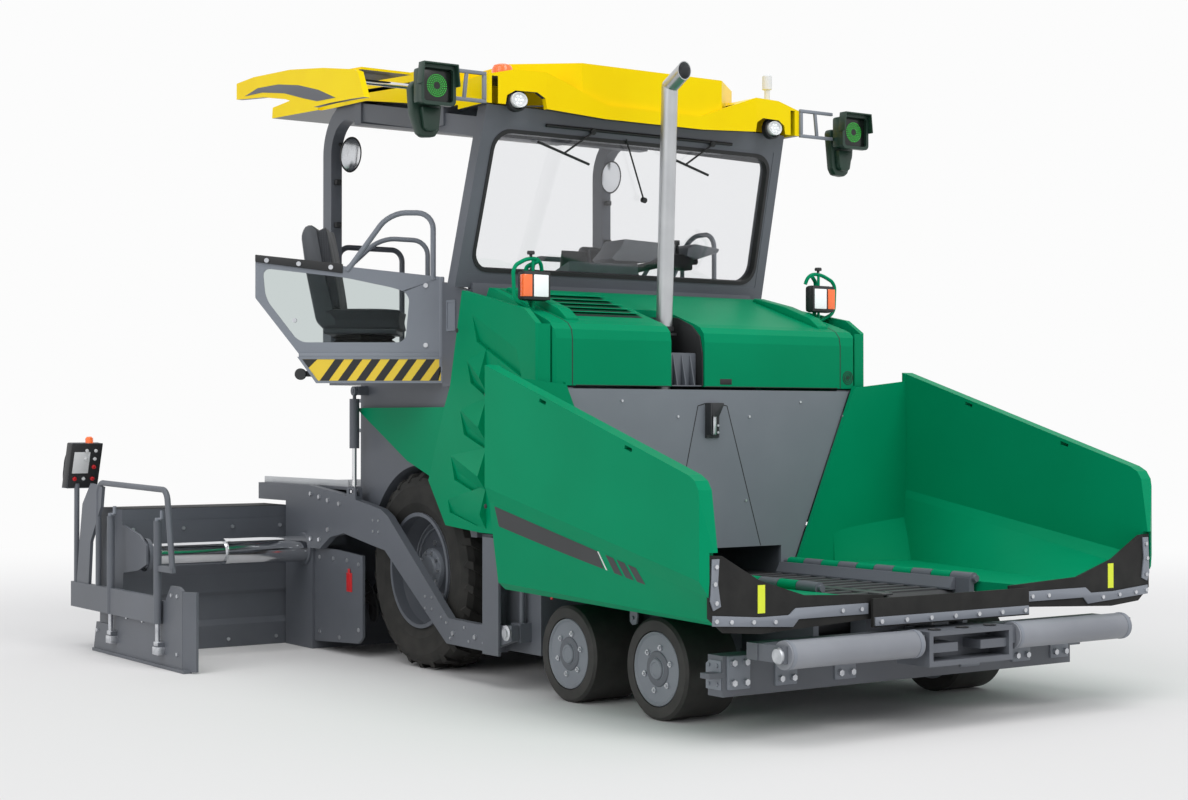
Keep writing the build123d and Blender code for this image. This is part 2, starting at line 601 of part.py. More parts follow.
def roof_wing():
    # stowed, left side
    y0, y1 = ROOF_Y - 25, ROOF_Y + 18
    fascia = side_plate([(WING_REAR_X, 4083), (WING_REAR_X, 4200), (-1000, 4207), (-410, 4175),
                         (90, 4114), (520, 4042), (580, 4020), (WING_FRONT_X, 3839), (500, 3850),
                         (190, 3864), (-55, 3868), (-205, 3899), (-490, 3980), (-840, 4040),
                         (-1170, 4071)], y0, y1)
    skin = side_plate(wing_skin(0), 950, y0 + 5)
    rods = [rod((x, y0 + 5, z), (x, 420, z), WING_ROD_R) for x, z in WING_RODS]
    return join(fascia, skin, *rods)


def lamp_bracket():
    frame = cross_plate([(ROOF_Y, 3800), (ROOF_Y, 4010), (1640, 4010), (1640, 3990),
                         (1400, 3980), (1400, 3830), (1640, 3830), (1640, 3800)], 1080, 1110)
    head = block(1060, 1240, 1650, 1860, 3760, 3990)
    mirror_box = block(1040, 1140, 1640, 1790, 3600, 3765)
    return join(frame, head, mirror_box)


# ---- operator's consoles ---------------------------------------------------
def console():
    # stowed, left side
    x1 = CONSOLE_PIVOT[0] - 30
    x0 = x1 - CONSOLE_L
    y0, y1 = BODY_Y - 25, BODY_Y + 10
    panel = side_plate([(x1, 2190), (x1, 2720), (x0, 2860), (x0, 2575), (x0 + 300, 2190)], y0, y1)
    stripe = side_plate([(x1 + 20, 1990), (x1 + 20, 2170), (x0 + 290, 2170), (x0 + 420, 1990)],
                        y0, y1)
    link = block(x0 + 420, x1, y0, y1, 2160, 2200)
    floor = flat_plate([(x1 + 20, y0 + 5), (x0 + 330, y0 + 5), (x0 + 330, 480), (x1 - 90, 480)],
                       FLOOR_Z + 8, FLOOR_Z + 34)
    pivot = rod((CONSOLE_PIVOT[0], CONSOLE_PIVOT[1], FLOOR_Z - FLOOR_T + 5),
                (CONSOLE_PIVOT[0], CONSOLE_PIVOT[1], 2200), CONSOLE_PIN_R)
    arm = flat_plate([(CONSOLE_PIVOT[0] + 20, CONSOLE_PIVOT[1]), (x1 - 20, y0 + 5),
                      (x1 - 120, y0 + 5), (CONSOLE_PIVOT[0] - 30, CONSOLE_PIVOT[1] - 25)],
                     2170, 2200)
    rail = bent_pipe([(x1 - 50, y0 + 15, 2700), (x1 - 50, y0 + 15, 3160), (x1 - 350, y0 + 15, 3160),
                      (x1 - 640, y0 + 15, 2760)], 19, 110)
    return join(panel, stripe, link, floor, pivot, arm, rail)


def seat():
    x = CONSOLE_PIVOT[0] - 600
    y = 840
    base = block(x - 200, x + 200, y - 180, y + 180, FLOOR_Z + 34, 2340)
    cushion = block(x - 260, x + 260, y - 240, y + 240, 2340, 2500)
    back = side_plate([(x - 260, 2480), (x - 160, 2480), (x - 260, 3060), (x - 360, 3060)],
                      y - 230, y + 230)
    return join(base, cushion, back)


def swung_out(shape):
    # turned out about the right console's pivot
    pivot = Vector(CONSOLE_PIVOT[0], -CONSOLE_PIVOT[1], 0)
    return Pos(pivot) * Rot(0, 0, CONSOLE_SWING) * Pos(-pivot) * shape


def control_desk():
    column = block(330, 430, -120, 120, FLOOR_Z, 2700)
    panel = side_plate([(200, 2700), (200, 2760), (520, 2860), (520, 2700)], -300, 300)
    return join(column, panel)


# ---- hopper ----------------------------------------------------------------
def hopper_wing():
    # left wing, open
    rear, front = WING_REAR, 3990.0
    rear_outer = [(655, 712), (1640, 700), (1692, 745), (1758, 1240), (WING_RIM_Y, 1330),
                  (WING_RIM_Y, 2300), (655, 2300)]
    front_outer = [(655, 690), (1600, 640), (1635, 660), (1745, 800), (WING_RIM_Y, 880),
                   (WING_RIM_Y, 2300), (655, 2300)]
    rear_inner = [(600, 758), (1646, 758), (1690, 1190), (1700, 1245), (1700, 2400), (600, 2400)]
    front_inner = [(600, 758), (1071, 758), (1600, 812), (1700, 880), (1700, 2400), (600, 2400)]

    def hull(a, xa, b, xb):
        wires = [Wire.make_polygon([Vector(x, y, z) for y, z in pts], close=True)
                 for pts, x in ((a, xa), (b, xb))]
        return Solid.make_loft(wires, ruled=True)

    body = hull(rear_outer, rear, front_outer, front)
    body -= hull(rear_inner, rear + 30, front_inner, front + 1)
    profile = [(rear, 600), (rear, 2073), (3825, 1448), (3880, 1418), (3912, 1370), (3963, 1034),
               (3918, 600)]
    body &= side_plate(profile, 600, 1850)
    body &= flat_plate([(rear, 500), (4000, 500), (4000, 1702), (3963, 1722), (3880, 1850),
                        (rear, 1850)], 500, 2400)
    corner = [(500, 793), (700, 793), (1215, 1975), (1215, 2400), (500, 2400)]
    body -= cross_plate(corner, rear - 5, rear + 35)
    over = [(1215, 1960), (1215, 2400), (1690, 2400), (1690, 2010)]
    body -= cross_plate(over, rear - 5, rear + 35)
    body -= block(APRON_X, front + 5, 600, 1745, 600, 1045)
    gusset = [[(rear + 28, y, top), (rear + 28, y, 757), (x, y, 757)]
              for y, top, x in ((1015, 990, rear + 40), (1688, 1055, rear + 185))]
    body += Solid.make_loft([Wire.make_polygon([Vector(*c) for c in g], close=True)
                             for g in gusset], ruled=True)
    for x, z in WING_SLOTS:
        body -= Pos(x, 1745, z) * Rot(0, 17, 0) * Box(70, 140, 22)
    for i in range(5):
        x = rear + 40 + i * 340
        body += tube((x, HINGE_Y, HINGE_Z), (x + 160, HINGE_Y, HINGE_Z), 34, 20.5)
        body += block(x, x + 160, HINGE_Y + 26, 670, 745, 758)
    return body


def hinge_pin():
    pin = rod((WING_REAR - 15, HINGE_Y, HINGE_Z), (3560, HINGE_Y, HINGE_Z), 20)
    knuckles = [rod((WING_REAR + 205 + i * 340, HINGE_Y, HINGE_Z),
                    (WING_REAR + 375 + i * 340, HINGE_Y, HINGE_Z), 34) for i in range(5)]
    foot = [block(WING_REAR + 205 + i * 340, WING_REAR + 375 + i * 340, FRAME_Y - FRAME_T, FRAME_Y,
                  690, HINGE_Z) for i in range(5)]
    return join(pin, *knuckles, *foot)


def apron_side():
    outline = [(500, 640), (500, 765), (1080, 790), (1400, 886), (1650, 1024), (1740, 1030),
               (1740, 700), (1640, 620), (1390, 600)]
    return cross_plate(outline, APRON_X, APRON_X + APRON_T)


def apron_centre():
    return cross_plate([(-620, 592), (620, 592), (620, 750), (-620, 750)], APRON_X + 40,
                       APRON_X + 58)


# ---- push bar --------------------------------------------------------------
def push_bar():
    bar = block(3800, 3890, -1375, 1375, PUSH_Z0, PUSH_Z1)
    neck = block(PUSH_PIVOT_X, 3810, -80, 80, PUSH_Z0, PUSH_Z1)
    hub = rod((PUSH_PIVOT_X, 0, PUSH_Z0), (PUSH_PIVOT_X, 0, PUSH_Z1), 80)
    pin = rod((PUSH_PIVOT_X, 0, PUSH_Z0 - 30), (PUSH_PIVOT_X, 0, PUSH_Z1 + 30), PUSH_PIN_R)
    ends = [block(3880, ROLLER_X + 40, y - 14, y + 14, PUSH_Z0, PUSH_Z1)
            for y in (-ROLLER_Y1 - 15, -ROLLER_Y0 + 15, ROLLER_Y0 - 15, ROLLER_Y1 + 15)]
    nose = block(3860, ROLLER_X + 60, -330, 330, 365, 560)
    nose -= block(3960, ROLLER_X + 70, -300, 300, 395, 535)
    nose += block(3950, ROLLER_X + 40, -300, -90, 440, 490)
    nose += block(3950, ROLLER_X + 40, 90, 300, 440, 490)
    return join(bar, neck, hub, pin, *ends, nose)


def push_roller():
    return rod((ROLLER_X, ROLLER_Y0, ROLLER_Z), (ROLLER_X, ROLLER_Y1, ROLLER_Z), ROLLER_R)


# ---- tow points, arms, lift cylinders --------------------------------------
def tow_arm():
    outline = [(-1500, 1246), (-1039, 1203), (-351, 1102), (-248, 1056), (594, 404), (978, 396),
               (TOW_X + 50, 420), (TOW_X + 50, 320), (1065, 228), (568, 234), (-292, 813),
               (-589, 855), (-912, 905), (-1134, 865), (-1300, 770), (-1500, 770)]
    plate = side_plate(outline, ARM_Y0, ARM_Y1)
    plate -= rod((TOW_X, ARM_Y0, TOW_Z), (TOW_X, ARM_Y1, TOW_Z), TOW_PIN_R + 0.5)
    lug = rod((LIFT_X, ARM_Y0, LIFT_EYE), (LIFT_X, ARM_Y1, LIFT_EYE), 38)
    lug += block(LIFT_X - 38, LIFT_X + 38, ARM_Y0, ARM_Y1, 1100, LIFT_EYE)
    lug += block(LIFT_X - 68, LIFT_X + 68, ARM_Y0, ARM_Y1, 1140, LIFT_EYE + 30)
    lug -= block(LIFT_X - 80, LIFT_X + 80, LIFT_Y - 14, LIFT_Y + 14, 1180, LIFT_EYE + 50)
    lug -= block(LIFT_X - 32, LIFT_X + 32, ARM_Y0, ARM_Y1, LIFT_EYE - 17, LIFT_EYE + 17)
    return join(plate, lug)


def lift_barrel():
    eye = rod((LIFT_X, LIFT_Y - 14, LIFT_TOP), (LIFT_X, LIFT_Y + 14, LIFT_TOP), 34)
    barrel = rod((LIFT_X, LIFT_Y, LIFT_TOP - 58), (LIFT_X, LIFT_Y, LIFT_TOP - LIFT_BARREL), LIFT_R)
    neck = rod((LIFT_X, LIFT_Y, LIFT_TOP), (LIFT_X, LIFT_Y, LIFT_TOP - 60), 13)
    whole = join(eye, barrel, neck)
    whole -= rod((LIFT_X, LIFT_Y, LIFT_TOP - 76), (LIFT_X, LIFT_Y, LIFT_TOP - LIFT_BARREL - 5),
                 LIFT_ROD_R + 0.5)
    return whole - rod((LIFT_X, LIFT_Y - 20, LIFT_TOP), (LIFT_X, LIFT_Y + 20, LIFT_TOP), 15.5)


def lift_rod():
    shaft = rod((LIFT_X, LIFT_Y, LIFT_EYE + 45), (LIFT_X, LIFT_Y, LIFT_TOP - 350), LIFT_ROD_R)
    shaft += rod((LIFT_X, LIFT_Y, LIFT_EYE + 20), (LIFT_X, LIFT_Y, LIFT_EYE + 46), 12)
    eye = rod((LIFT_X, LIFT_Y - 13, LIFT_EYE), (LIFT_X, LIFT_Y + 13, LIFT_EYE), 28)
    pin = rod((LIFT_X, ARM_Y0, LIFT_EYE), (LIFT_X, ARM_Y1, LIFT_EYE), 12)
    return join(shaft, eye, pin)


# ---- screed ----------------------------------------------------------------
def screed_main():
    section = [(SCREED_FRONT, 0), (SCREED_FRONT, DECK_Z1), (DECK_REAR, DECK_Z1),
               (DECK_REAR, DECK_Z0), (SCREED_REAR, DECK_Z0), (SCREED_REAR, 0)]
    body = side_plate(section, -SCREED_Y, SCREED_Y)
    body -= rod((TUBE_X, -SCREED_Y - 5, TUBE_Z), (TUBE_X, SCREED_Y + 5, TUBE_Z), TUBE_R2 + 0.5)
    ears = [block(SCREED_FRONT - 5, -1330, side * 1090, side * ARM_Y0, 790, 1200)
            for side in (-1, 1)]
    plates = [side_plate([(SCREED_FRONT - 5, 60), (SCREED_FRONT - 5, 770), (-1140, 770), (-740, 745),
                          (-740, 150), (-800, 100)], side * 1243, side * 1263)
              for side in (-1, 1)]
    walkway = block(SCREED_FRONT - 5, -1010, -1240, 1240, DECK_Z1 - 22, DECK_Z1)
    return join(body, *ears, *plates, walkway)


def guide_tube():
    return tube((TUBE_X, TUBE_STEP - 1250, TUBE_Z), (TUBE_X, TUBE_STEP, TUBE_Z), TUBE_R2,
                TUBE_R3 + 0.5)


def screed_extension():
    section = [(EXT_X0, 0), (EXT_X0, 170), (EXT_X0 - 24, 215), (EXT_X0 - 24, 400),
               (EXT_X0 - 8, 425), (EXT_X0 - 8, 560), (EXT_X0, 640), (EXT_X0 - 20, 660),
               (EXT_X0 - 20, EXT_TOP), (DECK_REAR, EXT_TOP), (DECK_REAR, 0)]
    body = side_plate(section, EXT_Y0, EXT_Y1)
    bracket = side_plate([(EXT_X0 - 30, 600), (TUBE_X - 60, 640), (TUBE_X + 90, 690),
                          (TUBE_X + 90, 830), (TUBE_X - 60, 900), (EXT_X0 - 30, 960)],
                         EXT_Y1 - 20, EXT_Y1)
    inner = rod((TUBE_X, 1330, TUBE_Z), (TUBE_X, EXT_Y1 - 10, TUBE_Z), TUBE_R3)
    step = block(DECK_REAR, EXT_X0 - 30, EXT_Y0, EXT_Y1, EXT_TOP - 5, EXT_TOP + 90)
    return join(body, bracket, inner, step, gate_carrier())


def gate_carrier():
    beam = block(-2720, -1070, GATE_Y - 40, GATE_Y, 310, 500)
    tubes = [rod((x, SPINDLE_Y, 460), (x, SPINDLE_Y, 1030), 28)
             - rod((x, SPINDLE_Y, 300), (x, SPINDLE_Y, 950), SPINDLE_R + 0.5) for x in SPINDLES]
    beam_whole = join(beam, *[rod((x, SPINDLE_Y, 310), (x, SPINDLE_Y, 500), 28) for x in SPINDLES])
    for x in SPINDLES:
        beam_whole -= rod((x, SPINDLE_Y, 300), (x, SPINDLE_Y, 950), SPINDLE_R + 0.5)
    foot = block(-2300, EXT_X0 - 30, EXT_Y1 - 5, GATE_Y - 35, 340, 480)
    rail = bent_pipe([(-2195, GATE_Y - 20, 480), (-2195, GATE_Y - 20, 1270),
                      (-900, GATE_Y - 20, 1250), (-800, GATE_Y - 20, 700)], 21, 90)
    tie = block(-1030, -780, GATE_Y - 35, GATE_Y - 5, 680, 720)
    post = rod((-2650, GATE_Y - 20, 495), (-2650, GATE_Y - 20, 1250), 20)
    box = side_plate([(REAR_END, 1215), (REAR_END + 110, 1215), (REAR_END + 230, 1560),
                      (REAR_END + 120, 1560)], GATE_Y - 180, GATE_Y + 60)
    upright = side_plate([(-2620, 490), (-2370, 490), (-2330, 820), (-2120, 1090), (-2090, 1240),
                          (-2330, 1260), (-2500, 1100), (-2560, 820)], GATE_Y - 32, GATE_Y - 8)
    return join(beam_whole, *tubes, foot, rail, tie, post, box, upright)


def end_gate():
    plate = side_plate([(-2370, 0), (-700, 0), (-700, 560), (-760, 585), (-900, 585),
                        (-1000, 470), (-1985, 470), (-1985, 220), (-2310, 220)],
                       GATE_Y - 70, GATE_Y - 50)
    plate += flat_plate([(-705, GATE_Y - 70), (-705, GATE_Y - 50), (-590, GATE_Y - 105),
                         (-595, GATE_Y - 125)], 10, 555)
    plate += block(-2360, -640, GATE_Y - 95, GATE_Y - 35, 0, 22)
    feet = [block(x - 40, x + 40, GATE_Y - 55, SPINDLE_Y + 12, 100, 180) for x in SPINDLES]
    shafts = [rod((x, SPINDLE_Y, 175), (x, SPINDLE_Y, 800), SPINDLE_R) for x in SPINDLES]
    return join(plate, *feet, *shafts)


def auger():
    shaft = rod((AUGER_X, AUGER_Y0, AUGER_Z), (AUGER_X, AUGER_Y1, AUGER_Z), AUGER_SHAFT_R)
    steps = round(AUGER_STEPS * (AUGER_Y1 - AUGER_Y0 - 60) / AUGER_PITCH)
    rings = []
    for i in range(steps + 1):
        angle = 2 * pi * i / AUGER_STEPS
        y = AUGER_Y0 + 25 + AUGER_PITCH * i / AUGER_STEPS
        rings.append([Vector(AUGER_X + r * cos(angle), y + t, AUGER_Z + r * sin(angle))
                      for r, t in ((AUGER_SHAFT_R - 15, 0), (AUGER_R, 0), (AUGER_R, AUGER_T),
                                   (AUGER_SHAFT_R - 15, AUGER_T))])
    faces = [Face(Wire.make_polygon(rings[0], close=True)),
             Face(Wire.make_polygon(rings[-1], close=True))]
    for a, b in zip(rings, rings[1:]):
        for k in range(4):
            m = (k + 1) % 4
            faces.append(Face(Wire.make_polygon([a[k], a[m], b[m]], close=True)))
            faces.append(Face(Wire.make_polygon([a[k], b[m], b[k]], close=True)))
    flight = Solid(Shell(faces))
    return join(shaft, flight)


# ---- write every piece -----------------------------------------------------
save_pair("rear_tyre", rear_tyre())
save_pair("rear_rim", rear_rim())
for row, offset in (("one", BOGIE_BASE / 2), ("two", -BOGIE_BASE / 2)):
    save_pair(f"front_wheel_{row}", Pos(BOGIE_X + offset, 0, 0) * front_wheel())
    save_pair(f"knuckle_{row}", Pos(BOGIE_X + offset, 0, 0) * knuckle())
save("front_bogies", join(bogie(), other_side(bogie())))
save("rear_axle", join(rear_axle(), other_side(rear_axle())))

save("main_frame", join(main_frame(), hinge_pin(), other_side(hinge_pin())))
save("conveyor", conveyor())
save("hopper_back_wall", back_wall())
save("engine", engine())
save("rear_housing", rear_housing())
save("fenders", join(fender(), other_side(fender())))
save_pair("side_door", side_door())
save("hood", hood())
save("exhaust", exhaust())

save("platform", platform())
save("control_desk", control_desk())
save("canopy_frame", canopy_frame())
save("windscreen", windscreen())
save("roof", roof())
save("roof_wing_left", roof_wing())
save("roof_wing_right", Pos(0, -WING_OUT, 0) * other_side(roof_wing()))
save("lamp_brackets", join(lamp_bracket(), other_side(lamp_bracket())))
save("console_left", console())
save("console_right", swung_out(other_side(console())))
save("seat_left", seat())
save("seat_right", swung_out(other_side(seat())))

save_pair("hopper_wing", hopper_wing())
save_pair("apron", apron_side())
save("apron_centre", apron_centre())
save("push_bar", push_bar())
save_pair("push_roller", push_roller())

save("tow_arms", join(tow_arm(), other_side(tow_arm())))
save("lift_barrels", join(lift_barrel(), other_side(lift_barrel())))
save("lift_rods", join(lift_rod(), other_side(lift_rod())))
save("screed_main", screed_main())
save_pair("guide_tube", guide_tube())
save_pair("screed_extension", screed_extension())
save_pair("end_gate", end_gate())
save_pair("auger", auger())
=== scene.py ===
import bmesh
import bpy
from math import cos, pi, radians, sin
from mathutils import Matrix, Vector


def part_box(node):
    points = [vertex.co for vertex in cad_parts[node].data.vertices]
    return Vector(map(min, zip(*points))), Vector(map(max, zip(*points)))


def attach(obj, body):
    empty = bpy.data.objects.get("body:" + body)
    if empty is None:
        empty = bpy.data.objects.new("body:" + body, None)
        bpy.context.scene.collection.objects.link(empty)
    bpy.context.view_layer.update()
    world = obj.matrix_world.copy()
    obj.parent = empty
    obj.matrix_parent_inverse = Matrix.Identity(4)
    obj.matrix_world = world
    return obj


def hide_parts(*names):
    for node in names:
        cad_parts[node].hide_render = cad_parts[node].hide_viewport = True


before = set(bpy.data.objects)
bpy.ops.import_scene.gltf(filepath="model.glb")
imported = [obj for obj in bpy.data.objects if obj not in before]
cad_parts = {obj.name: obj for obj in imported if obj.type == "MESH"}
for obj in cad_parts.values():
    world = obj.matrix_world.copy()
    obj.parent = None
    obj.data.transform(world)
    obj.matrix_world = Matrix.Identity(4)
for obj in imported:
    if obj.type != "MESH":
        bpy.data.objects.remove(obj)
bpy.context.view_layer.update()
AXLE_X = sum(corner.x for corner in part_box("rear_tyre_left")) / 2
SIDES = ("left", "right")


# ---- camera, floor and studio light ----
# The camera stands at standing eye height off the machine's front right corner, with a short
# telephoto lens. The floor is a matt pale studio floor that runs out into the pale backdrop.
def linear(code):
    channels = [int(code[i:i + 2], 16) / 255 for i in (1, 3, 5)]
    return [c / 12.92 if c <= 0.04045 else ((c + 0.055) / 1.055) ** 2.4 for c in channels] + [1.0]


def add(material, kind, inputs=None, **settings):
    node = material.node_tree.nodes.new(kind)
    for name, value in settings.items():
        setattr(node, name, value)
    for socket, value in (inputs or {}).items():
        if isinstance(value, bpy.types.NodeSocket):
            material.node_tree.links.new(value, node.inputs[socket])
        else:
            node.inputs[socket].default_value = value
    return node


def blank_material(name):
    material = bpy.data.materials.new(name)
    material.use_nodes = True
    material.node_tree.nodes.clear()
    return material


lens = bpy.data.cameras.new("camera")
lens.sensor_width = 36.0
lens.lens = 59.62
lens.clip_end = 500.0
camera = bpy.data.objects.new("camera", lens)
camera.location = (AXLE_X + 12.0047, -8.1020, 1.7353)
camera.rotation_euler = (radians(90.59), 0.0, radians(55.08))
bpy.context.scene.collection.objects.link(camera)
bpy.context.scene.camera = camera

floor_shape = bmesh.new()
bmesh.ops.create_circle(floor_shape, cap_ends=True, segments=96, radius=120.0)
floor_mesh = bpy.data.meshes.new("floor")
floor_shape.to_mesh(floor_mesh)
floor_shape.free()
floor = bpy.data.objects.new("floor", floor_mesh)
bpy.context.scene.collection.objects.link(floor)
floor.location.z = -0.001
matt = blank_material("matt studio floor")
place = add(matt, "ShaderNodeTexCoord").outputs["Object"]
far = add(matt, "ShaderNodeVectorMath", {0: place}, operation="LENGTH").outputs["Value"]
fade = add(matt, "ShaderNodeMapRange", {"Value": far, "From Min": 6.0, "From Max": 15.0},
           interpolation_type="SMOOTHSTEP").outputs["Result"]
near_floor = add(matt, "ShaderNodeBsdfDiffuse", {"Color": linear("#E8E6E5")}).outputs[0]
far_floor = add(matt, "ShaderNodeEmission", {"Color": linear("#FCFCFC")}).outputs[0]
mixed = add(matt, "ShaderNodeMixShader", {0: fade, 1: near_floor, 2: far_floor}).outputs[0]
add(matt, "ShaderNodeOutputMaterial", {"Surface": mixed})
floor_mesh.materials.append(matt)

world = bpy.data.worlds.new("studio")
bpy.context.scene.world = world
world.use_nodes = True
world.node_tree.nodes.clear()
rays = add(world, "ShaderNodeLightPath")
shown = add(world, "ShaderNodeMath", {0: rays.outputs["Is Camera Ray"],
                                      1: rays.outputs["Is Transmission Ray"]}, operation="MAXIMUM")
shown = add(world, "ShaderNodeMath", {0: shown.outputs[0], 1: rays.outputs["Is Glossy Ray"]},
            operation="MAXIMUM").outputs[0]
soft_light = add(world, "ShaderNodeBackground", {"Color": linear("#F2F6FA"), "Strength": 0.62})
backdrop = add(world, "ShaderNodeBackground", {"Color": linear("#FCFCFC"), "Strength": 1.0})
both = add(world, "ShaderNodeMixShader", {0: shown, 1: soft_light.outputs[0],
                                          2: backdrop.outputs[0]}).outputs[0]
add(world, "ShaderNodeOutputWorld", {"Surface": both})

for name, turn, strength, width in (("overhead softbox", (10, 12, 0), 0.9, 40),
                                    ("front left softbox", (52, 0, 100), 0.75, 30),
                                    ("right fill", (60, 0, 20), 0.5, 35)):
    sun = bpy.data.lights.new(name, "SUN")
    sun.energy = strength
    sun.angle = radians(width)
    lamp = bpy.data.objects.new(name, sun)
    lamp.rotation_euler = [radians(a) for a in turn]
    bpy.context.scene.collection.objects.link(lamp)

bpy.context.scene.view_settings.view_transform = "Standard"


# ---- body panels: door skins, hood, fenders, hopper wings ----
# Pressed and welded sheet steel in green two-pack enamel, sprayed and baked, with a clear gloss.
# The eye gets an even deep colour, a faint orange-peel ripple in the highlights and road dust
# that gathers near the ground.
def surface(material, depth, size, detail=3.0):
    # the material's place, and a relief with grains of this size and depth in metres
    place = add(material, "ShaderNodeTexCoord").outputs["Object"]
    grain = add(material, "ShaderNodeTexNoise", {"Vector": place, "Scale": 1.0 / size,
                                                 "Detail": detail}).outputs["Fac"]
    return place, add(material, "ShaderNodeBump", {"Height": grain, "Strength": 0.35,
                                                   "Distance": depth}).outputs["Normal"]


def drifted(material, place, first, second, size):
    # two near colours that change over each other as the coat's thickness does
    cloud = add(material, "ShaderNodeTexNoise", {"Vector": place, "Scale": 1.0 / size,
                                                 "Detail": 4.0}).outputs["Fac"]
    spread = add(material, "ShaderNodeMapRange", {"Value": cloud, "From Min": 0.35,
                                                  "From Max": 0.65}).outputs["Result"]
    return add(material, "ShaderNodeMix", {0: spread, 6: linear(first), 7: linear(second)},
               data_type="RGBA").outputs[2]


def dusted(material, place, colour, dust, top, amount):
    # grey dust thrown up by the wheels, thickest at the ground
    height = add(material, "ShaderNodeSeparateXYZ", {"Vector": place}).outputs["Z"]
    low = add(material, "ShaderNodeMapRange", {"Value": height, "From Min": 0.0, "From Max": top,
                                               "To Min": amount, "To Max": 0.0}).outputs["Result"]
    patch = add(material, "ShaderNodeTexNoise", {"Vector": place, "Scale": 9.0,
                                                 "Detail": 6.0}).outputs["Fac"]
    share = add(material, "ShaderNodeMath", {0: low, 1: patch}, operation="MULTIPLY").outputs[0]
    return add(material, "ShaderNodeMix", {0: share, 6: colour, 7: linear(dust)},
               data_type="RGBA").outputs[2]


def coated(name, first, second, roughness, grain, depth, shine=0.5, dust=0.25):
    # a coat of paint, powder, foil or moulded plastic
    material = blank_material(name)
    place, bumps = surface(material, depth, grain)
    colour = drifted(material, place, first, second, 0.9)
    if dust:
        colour = dusted(material, place, colour, "#8E8A82", 1.1, dust)
    shader = add(material, "ShaderNodeBsdfPrincipled",
                 {"Base Color": colour, "Roughness": roughness, "Normal": bumps,
                  "Specular IOR Level": shine, "IOR": 1.5})
    add(material, "ShaderNodeOutputMaterial", {"Surface": shader.outputs[0]})
    return material


def dress(material, *names):
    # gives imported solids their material
    for name in names:
        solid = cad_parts[name]
        if not solid.material_slots:
            solid.data.materials.append(material)
        for held in solid.material_slots:
            held.material = material


green_enamel = coated("green two-pack enamel", "#008A5E", "#009063", 0.45, 0.012, 0.0003,
                      shine=0.06, dust=0.02)
dress(green_enamel, "hood", "fenders", "side_door_left", "side_door_right", "hopper_wing_left",
      "hopper_wing_right")


def settle(name, shape, material, body, stands_for=()):
    # closes the shape, moves it to the shared frame and rides it on its body
    bmesh.ops.remove_doubles(shape, verts=shape.verts, dist=0.00004)
    bmesh.ops.recalc_face_normals(shape, faces=shape.faces)
    bmesh.ops.translate(shape, verts=shape.verts, vec=(AXLE_X, 0, 0))
    mesh = bpy.data.meshes.new(name)
    shape.to_mesh(mesh)
    shape.free()
    mesh.materials.append(material)
    mesh.polygons.foreach_set("use_smooth", [True] * len(mesh.polygons))
    mesh.set_sharp_from_angle(angle=radians(32))
    piece = bpy.data.objects.new(name, mesh)
    bpy.context.scene.collection.objects.link(piece)
    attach(piece, body)
    if stands_for:
        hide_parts(*stands_for)
    return piece


LAID = {"xz": lambda a, b, c: (a, c, b), "yz": lambda a, b, c: (c, a, b),
        "xy": lambda a, b, c: (a, b, c)}


def plate(shape, outline, across, low, high, edge=0.0):
    # a sheet cut to an outline in the two directions named, thick from low to high in the third
    turn = LAID[across]
    corners = [shape.verts.new(turn(a, b, low)) for a, b in outline]
    face = shape.faces.new(corners)
    grown = bmesh.ops.extrude_face_region(shape, geom=[face])["geom"]
    far_side = [v for v in grown if isinstance(v, bmesh.types.BMVert)]
    bmesh.ops.translate(shape, verts=far_side, vec=turn(0, 0, high - low))
    if edge:
        edges = {e for v in corners + far_side for e in v.link_edges}
        bmesh.ops.bevel(shape, geom=list(edges), offset=edge, segments=2, profile=0.5,
                        affect="EDGES", material=-1, clamp_overlap=True)


def slab(shape, x0, x1, y0, y1, z0, z1, edge):
    # a block with its edges broken
    plate(shape, [(x0, y0), (x1, y0), (x1, y1), (x0, y1)], "xy", z0, z1, edge)


def bar(shape, start, end, radius, sides=20, taper=1.0):
    # a round or many-sided bar between two points
    a, b = Vector(start), Vector(end)
    place = Matrix.Translation((a + b) / 2) @ (b - a).to_track_quat("Z", "Y").to_matrix().to_4x4()
    bmesh.ops.create_cone(shape, cap_ends=True, segments=sides, radius1=radius,
                          radius2=radius * taper, depth=(b - a).length, matrix=place)


def turned(shape, profile, centre, axis=(0, 1, 0), steps=48):
    # a lathe-turned shape, its profile in (distance along the axis, radius)
    axis, centre = Vector(axis).normalized(), Vector(centre)
    side = axis.orthogonal().normalized()
    line = [shape.verts.new(centre + axis * a + side * r) for a, r in profile]
    edges = [shape.edges.new(ends) for ends in zip(line, line[1:])]
    bmesh.ops.spin(shape, geom=line + edges, cent=centre, axis=axis, dvec=(0, 0, 0),
                   angle=2 * pi, steps=steps, use_merge=True, use_duplicate=False)


def bent_tube(shape, points, radius, bend):
    # a tube bent to a radius at each point between its ends
    line = bmesh.new()
    corners = [line.verts.new(p) for p in points]
    for ends in zip(corners, corners[1:]):
        line.edges.new(ends)
    bmesh.ops.bevel(line, geom=corners[1:-1], offset=bend, segments=6, profile=0.5,
                    affect="VERTICES", material=-1)
    mesh = bpy.data.meshes.new("line")
    line.to_mesh(mesh)
    line.free()
    wire = bpy.data.objects.new("line", mesh)
    bpy.context.scene.collection.objects.link(wire)
    for other in bpy.context.selected_objects:
        other.select_set(False)
    wire.select_set(True)
    bpy.context.view_layer.objects.active = wire
    bpy.ops.object.convert(target="CURVE")
    wire.data.bevel_depth = radius
    wire.data.bevel_resolution = 3
    wire.data.use_fill_caps = True
    solid = bpy.data.meshes.new_from_object(
        wire.evaluated_get(bpy.context.evaluated_depsgraph_get()))
    shape.from_mesh(solid)
    bpy.data.objects.remove(wire)


